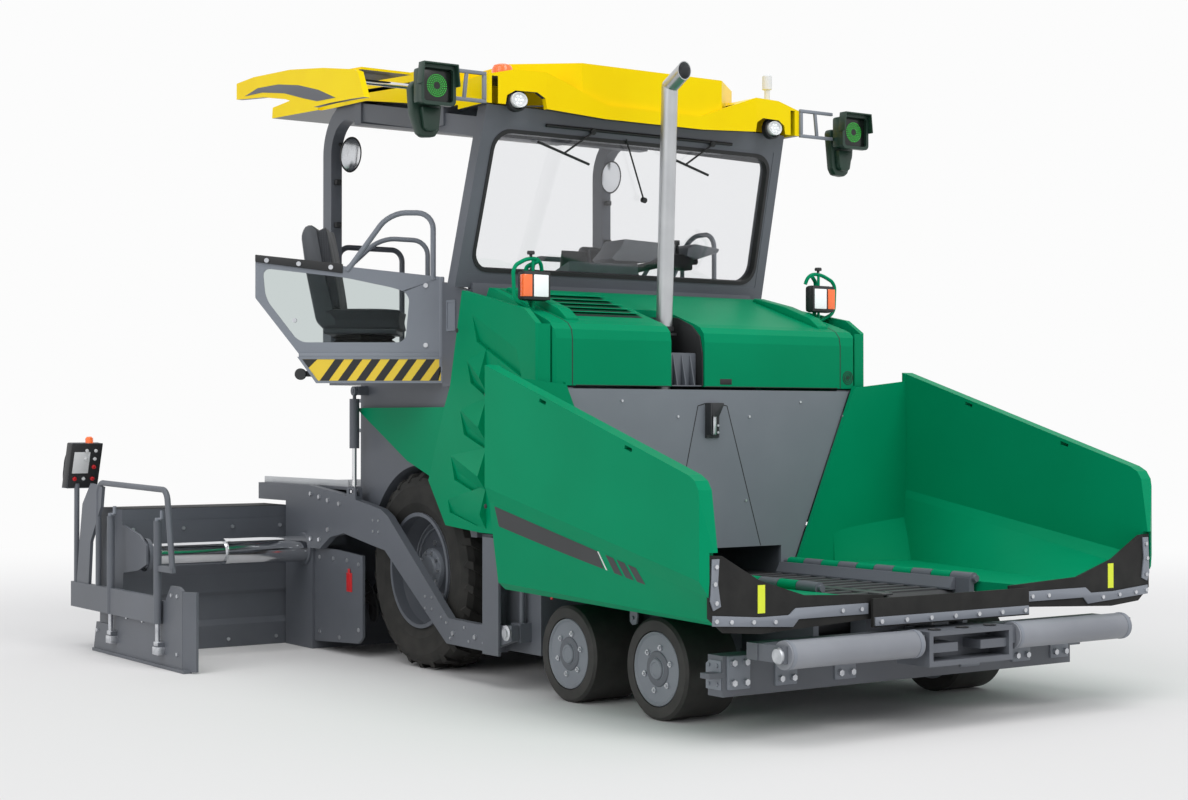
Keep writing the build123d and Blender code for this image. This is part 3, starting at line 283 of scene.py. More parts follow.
def heads(across, face, spots, wide, tall, sides=6, way=1):
    # bolt heads on a flat face, at spots in the two directions named, that stand out of it
    lay = LAID[across]
    return lambda shape: [
        bar(shape, lay(a, b, face), lay(a, b, face + way * tall), wide / 2, sides, 0.94)
        for a, b in spots]


def other_side(shape):
    # the right piece as the left one's mirror image
    bmesh.ops.scale(shape, verts=shape.verts, vec=(1, -1, 1))


def metal(name, first, second, cloud, metallic, roughness, grain, depth):
    material = blank_material(name)
    place, bumps = surface(material, depth, grain)
    shader = add(material, "ShaderNodeBsdfPrincipled",
                 {"Base Color": drifted(material, place, first, second, cloud),
                  "Metallic": metallic, "Roughness": roughness, "Normal": bumps})
    add(material, "ShaderNodeOutputMaterial", {"Surface": shader.outputs[0]})
    return material


# bright plated fasteners: pale cool metal with a soft clouded sheen
zinc = metal("zinc-plated steel", "#B9BCC1", "#D2D4D8", 0.05, 0.9, 0.36, 0.004, 0.0004)


# ---- frame, platform, canopy, screed and arms ----
# Heavy welded steel under a textured anthracite powder coat: satin, with a fine pimpled grain
# of about a millimetre, drawn coarser here so that it shows.
anthracite = coated("anthracite powder coat", "#5A5E65", "#62666E", 0.5, 0.010, 0.0006, dust=0.1)
# air-drying black on what hardly shows: dull and dusty
dark_coat = coated("black chassis paint", "#292A2D", "#313236", 0.6, 0.014, 0.0006, dust=0.15)
# the same powder in light grey, for bolted-on small steel
grey_steel = coated("light grey powder coat", "#7B8089", "#848992", 0.48, 0.010, 0.0005, dust=0.08)
dress(anthracite, "main_frame", "rear_housing", "platform", "canopy_frame", "tow_arms",
      "screed_main", "screed_extension_left", "screed_extension_right", "end_gate_left",
      "end_gate_right", "push_bar", "front_bogies", "rear_axle", "lift_barrels", "control_desk",
      "knuckle_one_left", "knuckle_one_right", "knuckle_two_left", "knuckle_two_right")
dress(dark_coat, "engine", "auger_left", "auger_right", "conveyor")


# ---- wheels ----
# Rear: a lugged pneumatic tyre on a dished rim with a planetary drive hub. Front: solid rubber
# pressed on a steel disc. Black carbon rubber, matt, dusty in the tread.
def rubber(name, first, second, roughness, grain, depth, dust=0.12):
    material = blank_material(name)
    place, bumps = surface(material, depth, grain, 5.0)
    colour = dusted(material, place, drifted(material, place, first, second, 0.12), "#77726A",
                    0.9, dust)
    shader = add(material, "ShaderNodeBsdfPrincipled",
                 {"Base Color": colour, "Roughness": roughness, "Normal": bumps, "IOR": 1.52,
                  "Specular IOR Level": 0.3})
    add(material, "ShaderNodeOutputMaterial", {"Surface": shader.outputs[0]})
    return material


def disc_and_rubber(name, centre, radius):
    # steel disc painted grey inside the radius, solid rubber outside it
    material = blank_material(name)
    place, bumps = surface(material, 0.0006, 0.008, 4.0)
    arm = add(material, "ShaderNodeVectorMath", {0: place, 1: centre}, operation="SUBTRACT")
    flat = add(material, "ShaderNodeVectorMath", {0: arm.outputs[0], 1: (1, 0, 1)},
               operation="MULTIPLY")
    far = add(material, "ShaderNodeVectorMath", {0: flat.outputs[0]}, operation="LENGTH")
    inside = add(material, "ShaderNodeMath", {0: far.outputs["Value"], 1: radius},
                 operation="LESS_THAN").outputs[0]
    tread = dusted(material, place, drifted(material, place, "#242423", "#302F2D", 0.1),
                   "#77726A", 0.6, 0.12)
    paint = drifted(material, place, "#868B93", "#92979F", 0.2)
    colour = add(material, "ShaderNodeMix", {0: inside, 6: tread, 7: paint},
                 data_type="RGBA").outputs[2]
    shader = add(material, "ShaderNodeBsdfPrincipled",
                 {"Base Color": colour, "Roughness": 0.62, "Normal": bumps})
    add(material, "ShaderNodeOutputMaterial", {"Surface": shader.outputs[0]})
    return material


tyre_rubber = rubber("lugged tyre rubber", "#232322", "#2F2E2C", 0.78, 0.006, 0.0008)
dress(tyre_rubber, "rear_tyre_left", "rear_tyre_right")
# grey sprayed enamel, satin
rim_paint = coated("rim paint", "#787D85", "#82878F", 0.45, 0.010, 0.0005, dust=0.1)
dress(anthracite, "rear_rim_left", "rear_rim_right")
REAR_AXLE = (0, 0, 0.685)
FRONT_R = 0.297


def pair(name, build, material, body="tractor", right=other_side, stands_for=()):
    # the left piece, and the right one made from it, each on its own side's body
    pieces = []
    for side in SIDES:
        shape = bmesh.new()
        build(shape)
        if side == "right":
            right(shape)
        pieces.append(settle(f"{name}_{side}", shape, material, body.format(side=side),
                             [node.format(side=side) for node in stands_for]))
    return pieces


def single(name, build, material, body="tractor"):
    shape = bmesh.new()
    build(shape)
    settle(name, shape, material, body)


def around(axle, radius, count, start=0.0):
    # evenly spaced spots on a bolt circle about an axle, in X and Z
    angles = [2 * pi * i / count + start for i in range(count)]
    return [(axle[0] + radius * cos(a), axle[2] + radius * sin(a)) for a in angles]


def rear_hub(shape):
    turned(shape, [(1.04, 0.0), (1.04, 0.152), (1.115, 0.150), (1.128, 0.142), (1.134, 0.100),
                   (1.150, 0.092), (1.156, 0.060), (1.156, 0.0)], REAR_AXLE)
    turned(shape, [(1.19, 0.404), (1.205, 0.404), (1.210, 0.398), (1.205, 0.392), (1.19, 0.392),
                   (1.19, 0.404)], REAR_AXLE)
    for r in (0.300, 0.340):
        turned(shape, [(1.010, r), (1.050, r), (1.054, r - 0.005), (1.050, r - 0.010),
                       (1.010, r - 0.010), (1.010, r)], REAR_AXLE)


pair("rear_hub", rear_hub, rim_paint, "rear_wheel_{side}")
pair("rear_wheel_nuts", lambda shape: (
    heads("xz", 1.126, around(REAR_AXLE, 0.122, 10), 0.026, 0.018)(shape),
    heads("xz", 1.016, around(REAR_AXLE, 0.210, 12), 0.034, 0.018)(shape)), zinc,
    "rear_wheel_{side}")

for row, x in (("one", 2.871), ("two", 1.964)):
    axle = (x, 0, FRONT_R)
    wheel = f"front_wheel_{row}_{{side}}"
    dress(disc_and_rubber(f"solid wheel {row}", (AXLE_X + x, 0, FRONT_R), 0.2165),
          *(wheel.format(side=side) for side in SIDES))
    pair(f"front_disc_{row}", lambda shape: (
        turned(shape, [(1.272, 0.216), (1.287, 0.214), (1.289, 0.206), (1.279, 0.194),
                       (1.275, 0.150), (1.275, 0.078)], axle),
        turned(shape, [(1.284, 0.060), (1.293, 0.055), (1.295, 0.042), (1.291, 0.036),
                       (1.291, 0.0)], axle)), rim_paint, wheel)
    pair(f"front_bearing_ring_{row}", lambda shape: turned(shape, [
        (1.276, 0.104), (1.281, 0.100), (1.283, 0.092), (1.283, 0.066), (1.290, 0.062),
        (1.290, 0.056), (1.276, 0.056), (1.276, 0.104)], axle), anthracite, wheel)
    studs = around(axle, 0.128, 6, 0.3)
    pair(f"front_studs_{row}", lambda shape: (
        heads("xz", 1.274, studs, 0.036, 0.010, 20)(shape),
        heads("xz", 1.274, studs, 0.018, 0.020)(shape)), zinc, wheel)


# ---- hopper ----
# Two folding wings of green sheet steel beside a grey enamelled back wall. The front edge is
# closed with thick black conveyor-belt rubber under bolted clamp strips.
WING = "hopper_wing_{side}"
# grey enamel, slightly glossier than the powder coats
wall_paint = coated("hopper wall paint", "#767B83", "#7F848C", 0.42, 0.018, 0.0004, dust=0.06)
dress(wall_paint, "hopper_back_wall")
# calendered black rubber, smoother than a tyre's
belt_rubber = rubber("belt rubber", "#171717", "#212120", 0.7, 0.012, 0.0005, 0.06)
dress(belt_rubber, "apron_left", "apron_right", "apron_centre")
# brushed-on warning paint, and flat black on clips, seams and hinges
neon = coated("neon yellow paint", "#E2EE2E", "#DCE838", 0.5, 0.01, 0.0003, dust=0)
matt_black = coated("matt black paint", "#1B1C1E", "#222325", 0.6, 0.006, 0.0003, dust=0.1)
APRON_FACE = 3.936
CENTRE_FACE = 3.977
WALL_FACE = 1.786
STRIP_T = 0.010


def apron_clamp(shape):
    for outline in (
            [(0.625, 0.665), (1.13, 0.665), (1.17, 0.625), (1.72, 0.66), (1.72, 0.715),
             (1.40, 0.690), (1.20, 0.690), (1.15, 0.725), (0.625, 0.725)],
            [(1.665, 0.76), (1.715, 0.74), (1.735, 0.79), (1.725, 1.01), (1.675, 1.01),
             (1.685, 0.88)]):
        plate(shape, outline, "yz", APRON_FACE, APRON_FACE + STRIP_T, 0.002)


pair("apron_clamp", apron_clamp, grey_steel, WING)
pair("apron_bolts", heads("yz", APRON_FACE + STRIP_T, (
    (0.68, 0.695), (0.82, 0.695), (1.30, 0.66), (1.45, 0.668), (1.60, 0.676), (1.70, 0.685),
    (1.70, 0.97), (1.71, 0.88), (1.70, 0.78)), 0.026, 0.010, 12), zinc, WING)
pair("apron_mark", lambda shape: plate(shape, [
    (1.36, 0.71), (1.41, 0.71), (1.41, 0.86), (1.36, 0.86)], "yz", APRON_FACE - 0.0005,
    APRON_FACE + 0.0015), neon, WING)
single("centre_clamp", lambda shape: slab(
    shape, CENTRE_FACE, CENTRE_FACE + STRIP_T, -0.61, 0.61, 0.600, 0.648, 0.002), grey_steel)
single("centre_bolts", heads("yz", CENTRE_FACE + STRIP_T, [
    (-0.57 + 0.19 * i, 0.624) for i in range(7)], 0.028, 0.012, 12), zinc)
pair("wall_clamp", lambda shape: plate(shape, [
    (0.715, 0.80), (0.765, 0.80), (1.185, 1.80), (1.135, 1.80)], "yz", WALL_FACE,
    WALL_FACE + STRIP_T, 0.002), dark_coat)
pair("wall_bolts", heads("yz", WALL_FACE + STRIP_T, [
    (0.745 + 0.42 * t, 0.83 + t) for t in (0.0, 0.22, 0.46, 0.7, 0.93)], 0.03, 0.012, 12), zinc)


# ---- access panel and latch of the back wall ----
# A lift-off plate over the conveyor's clean-out, cut to a tapered outline, held by one
# over-centre latch in a folded black bracket.
def seam(shape, points, width=0.006):
    # a narrow dark joint line, lying on the back wall
    for (ya, za), (yb, zb) in zip(points, points[1:]):
        along = Vector((yb - ya, zb - za)).normalized() * width / 2
        plate(shape, [(ya - along.y, za + along.x), (yb - along.y, zb + along.x),
                      (yb + along.y, zb - along.x), (ya + along.y, za - along.x)], "yz",
              WALL_FACE - 0.0025, WALL_FACE + 0.0001)


def latch(shape):
    slab(shape, WALL_FACE, 1.800, -0.075, 0.035, 1.620, 1.850, 0.003)
    slab(shape, 1.800, 1.850, -0.075, -0.065, 1.640, 1.850, 0.003)
    plate(shape, [(-0.065, 1.850), (0.035, 1.850), (0.035, 1.835), (-0.005, 1.760),
                  (-0.065, 1.760)], "yz", 1.800, 1.850, 0.004)


single("panel_seam", lambda shape: (
    seam(shape, [(-0.36, 0.893), (-0.134, 1.830), (-0.075, 1.845)]),
    seam(shape, [(0.40, 0.893), (0.111, 1.830), (0.035, 1.845)])), matt_black)
single("wall_latch", latch, dark_coat)
single("wall_latch_handle", lambda shape: (
    slab(shape, 1.815, 1.830, -0.040, -0.012, 1.640, 1.800, 0.005),
    bar(shape, (1.822, -0.055, 1.785), (1.822, 0.010, 1.785), 0.009),
    heads("yz", 1.800, ((-0.055, 1.655), (0.020, 1.655), (0.020, 1.700)), 0.018, 0.007,
          12)(shape),
    heads("yz", WALL_FACE, ((-0.30, 1.76), (0.30, 1.76), (-0.20, 1.20), (0.27, 1.20),
                            (-0.75, 1.86), (0.75, 1.86)), 0.018, 0.007, 12)(shape)), zinc)


# ---- slat conveyors ----
# Chain-drawn bars of hard rolled steel that drag the mix along two troughs. A folded case over
# the chains runs between them, bolted to the floor.
SLAT_PITCH = 0.145


def slats(shape):
    for i in range(11):
        x = 1.86 + SLAT_PITCH * i
        for y in (-0.50, 0.07):
            slab(shape, x, x + 0.035, y, y + 0.43, 0.698, 0.712, 0.003)
    slab(shape, 1.80, 3.44, -0.045, 0.045, 0.698, 0.713, 0.006)


# dark rolled steel, scoured to a dull sheen by hot mix
slat_steel = coated("worn bar steel", "#3B3C3F", "#4A4B4E", 0.38, 0.01, 0.0006, dust=0.2)
single("conveyor_slats", slats, slat_steel)


# ---- stripe along the hopper wings ----
# A self-adhesive foil band on the sloping lower panel: dark field, pale hairline and three
# bars. It is satin and very even beside the enamel, cut to a lean that follows the wing's end.
def wing_face(x, share, proud=0.0016):
    # a point on the sloping panel, share of the way from its upper to its lower fold
    along = (x - 1.8) / 2.19
    top = Vector((x, 1.758 - 0.013 * along, 1.240 - 0.440 * along))
    low = Vector((x, 1.692 - 0.057 * along, 0.745 - 0.085 * along))
    return top.lerp(low, share) + Vector((0, proud, -proud * 0.15))


def band(shape, x0, x1, top, low, lean=0.0, steps=10):
    # x at the rear and front end, share of the slope at its top and low edge
    rows = []
    for i in range(steps + 1):
        x = x0 + (x1 - x0) * i / steps
        rows.append([shape.verts.new(wing_face(x + lean, top(x))),
                     shape.verts.new(wing_face(x, low(x)))])
    lines = [[shape.edges.new((a[k], b[k])) for a, b in zip(rows, rows[1:])] for k in (0, 1)]
    bmesh.ops.bridge_loops(shape, edges=lines[0] + lines[1])


def band_top(x):
    return 0.03 + 0.01 * (x - 1.8)


def band_low(x):
    return 0.27 + 0.075 * (x - 1.87)


# vinyl foil: smooth, evenly satin
band_dark = coated("dark foil", "#26282B", "#2C2E31", 0.4, 0.03, 0.0001, dust=0.1)
band_pale = coated("pale foil", "#E6E8E8", "#DFE1E2", 0.4, 0.03, 0.0001, dust=0.1)
pair("wing_band", lambda shape: (
    band(shape, 1.885, 2.96, band_top, band_low, -0.025),
    [band(shape, x, x + 0.075, band_top, band_low, -0.045, 2) for x in (3.06, 3.165, 3.27)]),
    band_dark, WING)
pair("wing_band_line", lambda shape: band(shape, 2.98, 2.995, band_top, band_low, -0.045, 2),
     band_pale, WING)


# ---- push rollers and front beam ----
# Turned steel tubes with welded end caps in forked arms, painted grey and rubbed bright by
# truck tyres. The beam carries bolted ballast brackets at both ends.
ROLLER_AXLE = (4.06, 0, 0.495)
BRACKET_FACE = 3.622
BEAM_END = 1.394
# grey enamel polished by tyres, its bumps long and shallow
roller_paint = coated("roller paint", "#7C7F86", "#90939A", 0.38, 0.03, 0.0004, dust=0.1)
dress(roller_paint, "push_roller_left", "push_roller_right")
pair("roller_rings", lambda shape: [turned(shape, [
    (y, 0.070), (y, 0.0795), (y + 0.012, 0.0800), (y + 0.024, 0.0795), (y + 0.024, 0.070)],
    ROLLER_AXLE) for y in (0.386, 1.306)], grey_steel, "push_roller_{side}")
pair("roller_shafts", lambda shape: turned(shape, [
    (1.369, 0.0), (1.369, 0.045), (1.379, 0.045), (1.385, 0.038), (1.385, 0.0)], ROLLER_AXLE,
    steps=24), zinc, "push_bar")
pair("beam_brackets", lambda shape: [
    slab(shape, BRACKET_FACE - 0.017, BRACKET_FACE, y, y + 0.16, 0.262, 0.448, 0.006)
    for y in (0.42, 0.86, 1.20)], grey_steel)
pair("beam_bolts", heads("yz", BRACKET_FACE, [
    (y, z) for y in (0.455, 0.545, 0.895, 0.985, 1.235, 1.325) for z in (0.30, 0.41)], 0.040,
    0.020), zinc)


def beam_end(shape):
    # the bolted cover of the beam's end, behind the lashing eye
    plate(shape, [(3.468, 0.262), (3.600, 0.262), (3.600, 0.424), (3.500, 0.424),
                  (3.468, 0.400)], "xz", BEAM_END - 0.008, BEAM_END, 0.003)
    heads("xz", BEAM_END, [(x, z) for x in (3.500, 3.572) for z in (0.292, 0.396)], 0.022,
          0.008)(shape)


def wing_support(shape):
    # hook-shaped bracket bolted to the frame, which the lowered wing rests over
    plate(shape, [(2.372, 0.520), (2.400, 0.500), (2.440, 0.510), (2.452, 0.560), (2.440, 0.650),
                  (2.372, 0.650)], "xz", 1.100, 1.116, 0.004)
    slab(shape, 2.360, 2.462, 0.618, 1.116, 0.640, 0.652, 0.003)
    heads("xz", 1.116, [(2.412, 0.545)], 0.026, 0.012)(shape)


pair("beam_end_plate", beam_end, grey_steel)
pair("wing_support", wing_support, grey_steel)
single("nose_holes", lambda shape: [turned(shape, [
    (0.0, 0.0), (0.0, 0.034), (0.006, 0.040), (0.006, 0.026), (0.0, 0.022)], (4.045, y, 0.560),
    (0, 0, 1), 24) for y in (-0.22, 0.0, 0.22)], dark_coat, "push_bar")


# ---- hood ----
# Glass-fibre hood in the body's green, split by two seams, with pressed louvres over the
# radiator on the right, a slot for the exhaust, and a work lamp on each front corner.
HOOD_NOSE = 1.7755
LOUVRE_PITCH = 0.105
HORN_AT = (HOOD_NOSE, 1.196, 2.030)


def hood_seam(shape):
    # a joint that follows the hood's front and top, standing a hair proud of it
    top = [(1.775, 1.957), (1.775, 2.250), (1.763, 2.310), (1.725, 2.350), (1.665, 2.375),
           (0.920, 2.610)]
    outer = [(x + 0.0012, z + 0.00072) for x, z in top]
    plate(shape, outer + [(x - 0.004, z - 0.004) for x, z in reversed(top)], "xz", 1.123, 1.129)


def hood_top(x):
    # the height of the sloping top
    return 2.610 - 0.3154 * (x - 0.920)


def louvre(shape, x, y0, y1):
    # one blade, its front edge raised over the gap, which a black strip paints as shade
    plate(shape, [(x, hood_top(x)), (x + 0.070, hood_top(x + 0.070) + 0.020),
                  (x + 0.074, hood_top(x + 0.070) + 0.014), (x + 0.012, hood_top(x) - 0.006)],
          "xz", y0, y1, 0.002)


# a flat black strip in the gap under a blade: painted shade of the opening
def louvre_shade_strip(shape, x, y0, y1):
    plate(shape, [(at, hood_top(at) + rise) for at, rise in (
        (x, -0.004), (x + 0.045, -0.004), (x + 0.045, 0.0015), (x, 0.0015))], "xz", y0, y1)


def shoulder(shape):
    # the raised shoulder beside the middle of the hood
    plate(shape, [(0.955, 2.596), (0.975, 2.618), (1.30, 2.545), (1.58, 2.452), (1.672, 2.390),
                  (1.672, 2.360)], "xz", 1.010, 1.105, 0.006)


single("hood_louvres", lambda shape: [
    louvre(shape, 1.02 + LOUVRE_PITCH * i, -0.96 - 0.02 * i, -0.40) for i in range(5)],
    green_enamel, "hood")
single("hood_louvre_shade_strips", lambda shape: [
    louvre_shade_strip(shape, 1.095 + LOUVRE_PITCH * i, -0.94 - 0.02 * i, -0.42) for i in range(5)],
    matt_black, "hood")
pair("hood_pod", shoulder, green_enamel, "hood")
pair("hood_seam", hood_seam, matt_black, "hood")
single("hood_edge", lambda shape: [
    slab(shape, 1.740, 1.7768, y0, y1, 1.9552, 1.9600, 0.001)
    for y0, y1 in ((-1.10, -0.350), (-0.065, 1.10))], matt_black, "hood")
single("hood_handle", lambda shape: slab(
    shape, 1.770, 1.7768, 0.060, 0.160, 1.972, 2.010, 0.002), matt_black, "hood")
single("horn_grille", lambda shape: (
    [turned(shape, [(0.0, r), (0.0025, r), (0.0025, r + 0.005), (0.0, r + 0.005)], HORN_AT,
            (1, 0, 0), 32) for r in (0.014, 0.028, 0.042)],
    turned(shape, [(0.0, 0.0), (0.0035, 0.0), (0.0025, 0.009), (0.0, 0.009)], HORN_AT,
           (1, 0, 0), 20)), matt_black, "hood")


def slot_frame(shape):
    for y0, y1 in ((-0.083, -0.071), (-0.344, -0.334)):
        plate(shape, [(1.345, 1.960), (1.345, 2.440), (1.500, 2.420), (1.650, 2.365),
                      (1.735, 2.290), (1.762, 2.180), (1.766, 1.960)], "xz", y0, y1, 0.003)


def ribbed_bracket(shape):
    slab(shape, 1.690, 1.702, -0.330, -0.086, 1.960, 2.180, 0.004)
    for y in (-0.275, -0.205, -0.135):
        plate(shape, [(1.700, 1.962), (1.752, 1.962), (1.706, 2.165), (1.700, 2.165)], "xz",
              y - 0.005, y + 0.005, 0.002)
    slab(shape, 1.690, 1.764, -0.330, -0.086, 1.9575, 1.966, 0.002)


single("slot_lining", slot_frame, matt_black, "hood")
single("slot_bracket", ribbed_bracket, anthracite, "hood")


# ---- work lamps on the hood ----
# A black moulded case on a bent tube, with a clear driving lens and an orange indicator that
# wraps round the outer corner, and a knurled knob on top of the tube.
def lens_material(name, colour, glow):
    # moulded plastic with upright ribs, lit a little from within
    material = blank_material(name)
    place, bumps = surface(material, 0.0006, 0.008)
    ribs = add(material, "ShaderNodeTexWave", {"Vector": place, "Scale": 40.0, "Distortion": 0.0},
               bands_direction="Y").outputs["Fac"]
    tint = add(material, "ShaderNodeMix", {0: ribs, 6: linear(colour), 7: linear(glow)},
               data_type="RGBA").outputs[2]
    shader = add(material, "ShaderNodeBsdfPrincipled",
                 {"Base Color": tint, "Roughness": 0.25, "Normal": bumps, "Coat Weight": 0.6,
                  "Emission Color": tint, "Emission Strength": 0.25})
    add(material, "ShaderNodeOutputMaterial", {"Surface": shader.outputs[0]})
    return material


# moulded clear and orange lenses, lit through so that their ribs show, on a black case with a
# fine moulded grain
lamp_glass = lens_material("clear ribbed lens", "#E4E8EA", "#F8FAFA")
orange_lens = lens_material("orange ribbed lens", "#EE5E20", "#F87A38")
black_plastic = coated("black moulded plastic", "#1F2022", "#28292B", 0.55, 0.005, 0.0003, dust=0)


def lamp_case(shape):
    slab(shape, 1.420, 1.496, 1.108, 1.316, 2.500, 2.690, 0.022)
    slab(shape, 1.490, 1.507, 1.112, 1.312, 2.504, 2.686, 0.005)


def lamp_hoop(shape):
    bent_tube(shape, [(1.430, 1.150, 2.400), (1.455, 1.230, 2.445), (1.455, 1.355, 2.500),
                      (1.455, 1.365, 2.715), (1.440, 1.240, 2.775), (1.430, 1.140, 2.770),
                      (1.415, 1.120, 2.700)], 0.013, 0.045)
    for z, reach in ((2.684, 0.075), (2.506, -0.055)):
        bar(shape, (1.452, 1.212, z), (1.452, 1.212, z + reach), 0.010, 16)


pair("lamp_case", lamp_case, black_plastic, "hood")
pair("lamp_lens", lambda shape: slab(
    shape, 1.500, 1.5115, 1.128, 1.240, 2.524, 2.666, 0.006), lamp_glass, "hood")
pair("lamp_indicator", lambda shape: slab(
    shape, 1.462, 1.5115, 1.252, 1.3185, 2.524, 2.666, 0.006), orange_lens, "hood")
pair("lamp_hoop", lamp_hoop, green_enamel, "hood")
pair("lamp_knob", lambda shape: turned(shape, [
    (0.0, 0.0), (0.0, 0.010), (0.012, 0.010), (0.014, 0.024), (0.026, 0.026), (0.036, 0.022),
    (0.038, 0.0)], (1.440, 1.220, 2.785), (0, 0, 1), 20), black_plastic, "hood")


# ---- side doors ----
# Pressed steel skins with deep wedge ribs, hung at the front on lift-off hinges. A matt black
# line along the rear edge is painted shade of the gap. The ribs are drawn square to the machine
# and turned to the skin's slant.
DOOR_FACE = 1.380
RIB_ROOT = DOOR_FACE - 0.022
DOOR_PIN = (1.735, 1.357, 0)
DOOR_SLANT = Matrix.Rotation(radians(3.2), 3, "Z")


def door_ribs(shape):
    # each rib swells from a point at the rear to a proud edge at the front, then falls back
    # steeply to the skin, and fills the pressed hollow under it
    for (xa, za), (xb, zb), proud in (
            ((0.835, 2.130), (1.100, 2.014), 0.055), ((0.735, 1.805), (1.100, 1.691), 0.062),
            ((0.600, 1.500), (1.100, 1.369), 0.066), ((0.560, 1.205), (1.100, 1.120), 0.050)):
        made = [shape.verts.new(corner) for corner in (
            (xa, DOOR_FACE, za), (xa, RIB_ROOT, za), (xa + 0.030, RIB_ROOT, za - 0.100),
            (xb, DOOR_FACE, zb + 0.190), (xb, RIB_ROOT, zb + 0.190),
            (xb, DOOR_FACE + proud, zb), (xb, RIB_ROOT, zb - 0.105),
            (xb, DOOR_FACE - 0.004, zb - 0.105))]
        bmesh.ops.convex_hull(shape, input=made)
    bmesh.ops.rotate(shape, verts=shape.verts, cent=DOOR_PIN, matrix=DOOR_SLANT)


# a thin matt black tube along the door's rear edge: painted shade of the gap beside the door
def door_gap_shade(shape):
    bent_tube(shape, [(x, DOOR_FACE - 0.012, z) for x, z in (
        (0.764, 2.594), (0.594, 1.964), (0.514, 1.829), (0.276, 1.325), (0.529, 1.032))],
        0.007, 0.010)
    bmesh.ops.rotate(shape, verts=shape.verts, cent=DOOR_PIN, matrix=DOOR_SLANT)


pair("door_ribs", door_ribs, green_enamel, "side_door_{side}")
pair("door_gap_shade", door_gap_shade, matt_black, "side_door_{side}")
pair("door_buttons", lambda shape: [turned(shape, [
    (0.0, 0.0), (0.0, 0.016), (0.004, 0.015), (0.006, 0.008), (0.006, 0.0)], place, (0, 1, 0), 16)
    for place in ((0.800, 1.3855, 2.330), (1.180, 1.3975, 1.180), (1.180, 1.3975, 1.900))],
    matt_black, "side_door_{side}")


# ---- exhaust ----
# Satin stainless steel sleeve over the stack, with an elbow that is cut upright at the mouth. It
# stands on a black flange and is clamped above it. The eye gets broad, soft reflections.
stainless = metal("satin stainless steel", "#B4B6B9", "#C6C8CA", 0.4, 0.85, 0.3, 0.02, 0.0002)
dress(stainless, "exhaust")
STACK_FOOT = (1.512, -0.2075, 2.300)
STACK_LEAN = (0.018, 0, 1)
single("exhaust_flange", lambda shape: (
    turned(shape, [(0.0, 0.050), (0.0, 0.085), (0.016, 0.085), (0.016, 0.058)], STACK_FOOT,
           STACK_LEAN, 32),
    turned(shape, [(0.030, 0.050), (0.030, 0.066), (0.060, 0.066), (0.060, 0.056)], STACK_FOOT,
           STACK_LEAN, 32)), matt_black)


# ---- guide tubes and cylinder rods ----
# Ground and hard-chromed steel: a mirror-like, slightly soft reflection. The inner stage of
# each guide tube is held in a flange of the screed and a split clamp.
chrome = metal("hard chrome", "#D4D6D9", "#E2E3E5", 0.3, 1.0, 0.12, 0.05, 0.0001)
dress(chrome, "guide_tube_left", "guide_tube_right", "lift_rods")
TUBE = (-1.630, 0, 0.755)
pair("inner_tube", lambda shape: turned(shape, [
    (1.335, 0.070), (1.335, 0.0803), (2.585, 0.0803), (2.585, 0.070)], TUBE), chrome,
    "screed_extension_{side}")
pair("tube_collar", lambda shape: turned(shape, [
    (1.925, 0.099), (1.927, 0.1015), (1.958, 0.1015), (1.964, 0.096), (1.964, 0.082)], TUBE),
    chrome, "guide_tube_{side}")
pair("tube_flange", lambda shape: turned(shape, [
    (1.284, 0.101), (1.284, 0.122), (1.300, 0.122), (1.304, 0.118), (1.304, 0.101)], TUBE),
    anthracite, "screed")
pair("tube_foot", lambda shape: turned(shape, [
    (2.582, 0.1065), (2.548, 0.1065), (2.548, 0.116), (2.574, 0.122), (2.582, 0.122)], TUBE),
    anthracite, "screed_extension_{side}")


# ---- roof ----
# Glass-fibre mouldings in yellow gelcoat: glossy and very even on the outside. Faces that look
# down are painted dark grey: painted shade under the roof.
def roof_moulding(name):
    material = blank_material(name)
    place, bumps = surface(material, 0.0006, 0.06)
    # painted shade: faces that look down take a dark grey instead of the yellow
    facing = add(material, "ShaderNodeNewGeometry").outputs["True Normal"]
    down = add(material, "ShaderNodeSeparateXYZ", {"Vector": facing}).outputs["Z"]
    under = add(material, "ShaderNodeMath", {0: down, 1: -0.55}, operation="LESS_THAN").outputs[0]
    yellow = drifted(material, place, "#FFE000", "#FAD700", 0.7)
    colour = add(material, "ShaderNodeMix", {0: under, 6: yellow, 7: linear("#3B3D40")},
                 data_type="RGBA").outputs[2]
    shader = add(material, "ShaderNodeBsdfPrincipled",
                 {"Base Color": colour, "Roughness": 0.32, "Specular IOR Level": 0.1,
                  "Normal": bumps})
    add(material, "ShaderNodeOutputMaterial", {"Surface": shader.outputs[0]})
    return material


yellow_gelcoat = roof_moulding("yellow gelcoat")
dress(yellow_gelcoat, "roof", "roof_wing_left", "roof_wing_right")
ROOF_SLIDE = 0.65
# vinyl foil: satin, with a faint unevenness
grey_foil = coated("grey foil", "#55575D", "#5B5D63", 0.45, 0.02, 0.0001, dust=0)


def swoosh(shape):
    plate(shape, [(-1.15, 4.088), (-0.93, 4.118), (-0.60, 4.098), (-0.28, 4.048), (0.02, 3.975),
                  (0.27, 3.888), (0.00, 3.900), (-0.20, 3.946), (-0.50, 4.022), (-0.85, 4.075)],
          "xz", 1.3625, 1.3650, 0.0008)


def slide_rods(shape):
    for x, z in ((-0.900, 4.103), (0.300, 4.010)):
        turned(shape, [(0.430, 0.010), (0.430, 0.0183), (1.325, 0.0183), (1.325, 0.010)],
               (x, 0, z), steps=24)


def run_out(shape):
    # the right edge of the roof stands run out by its whole slide
    bmesh.ops.translate(shape, verts=shape.verts, vec=(0, ROOF_SLIDE, 0))
    other_side(shape)


pair("roof_wing_stripe", swoosh, grey_foil, "roof_wing_{side}", run_out)
pair("roof_slide_rods", slide_rods, chrome, "roof_wing_{side}", run_out)


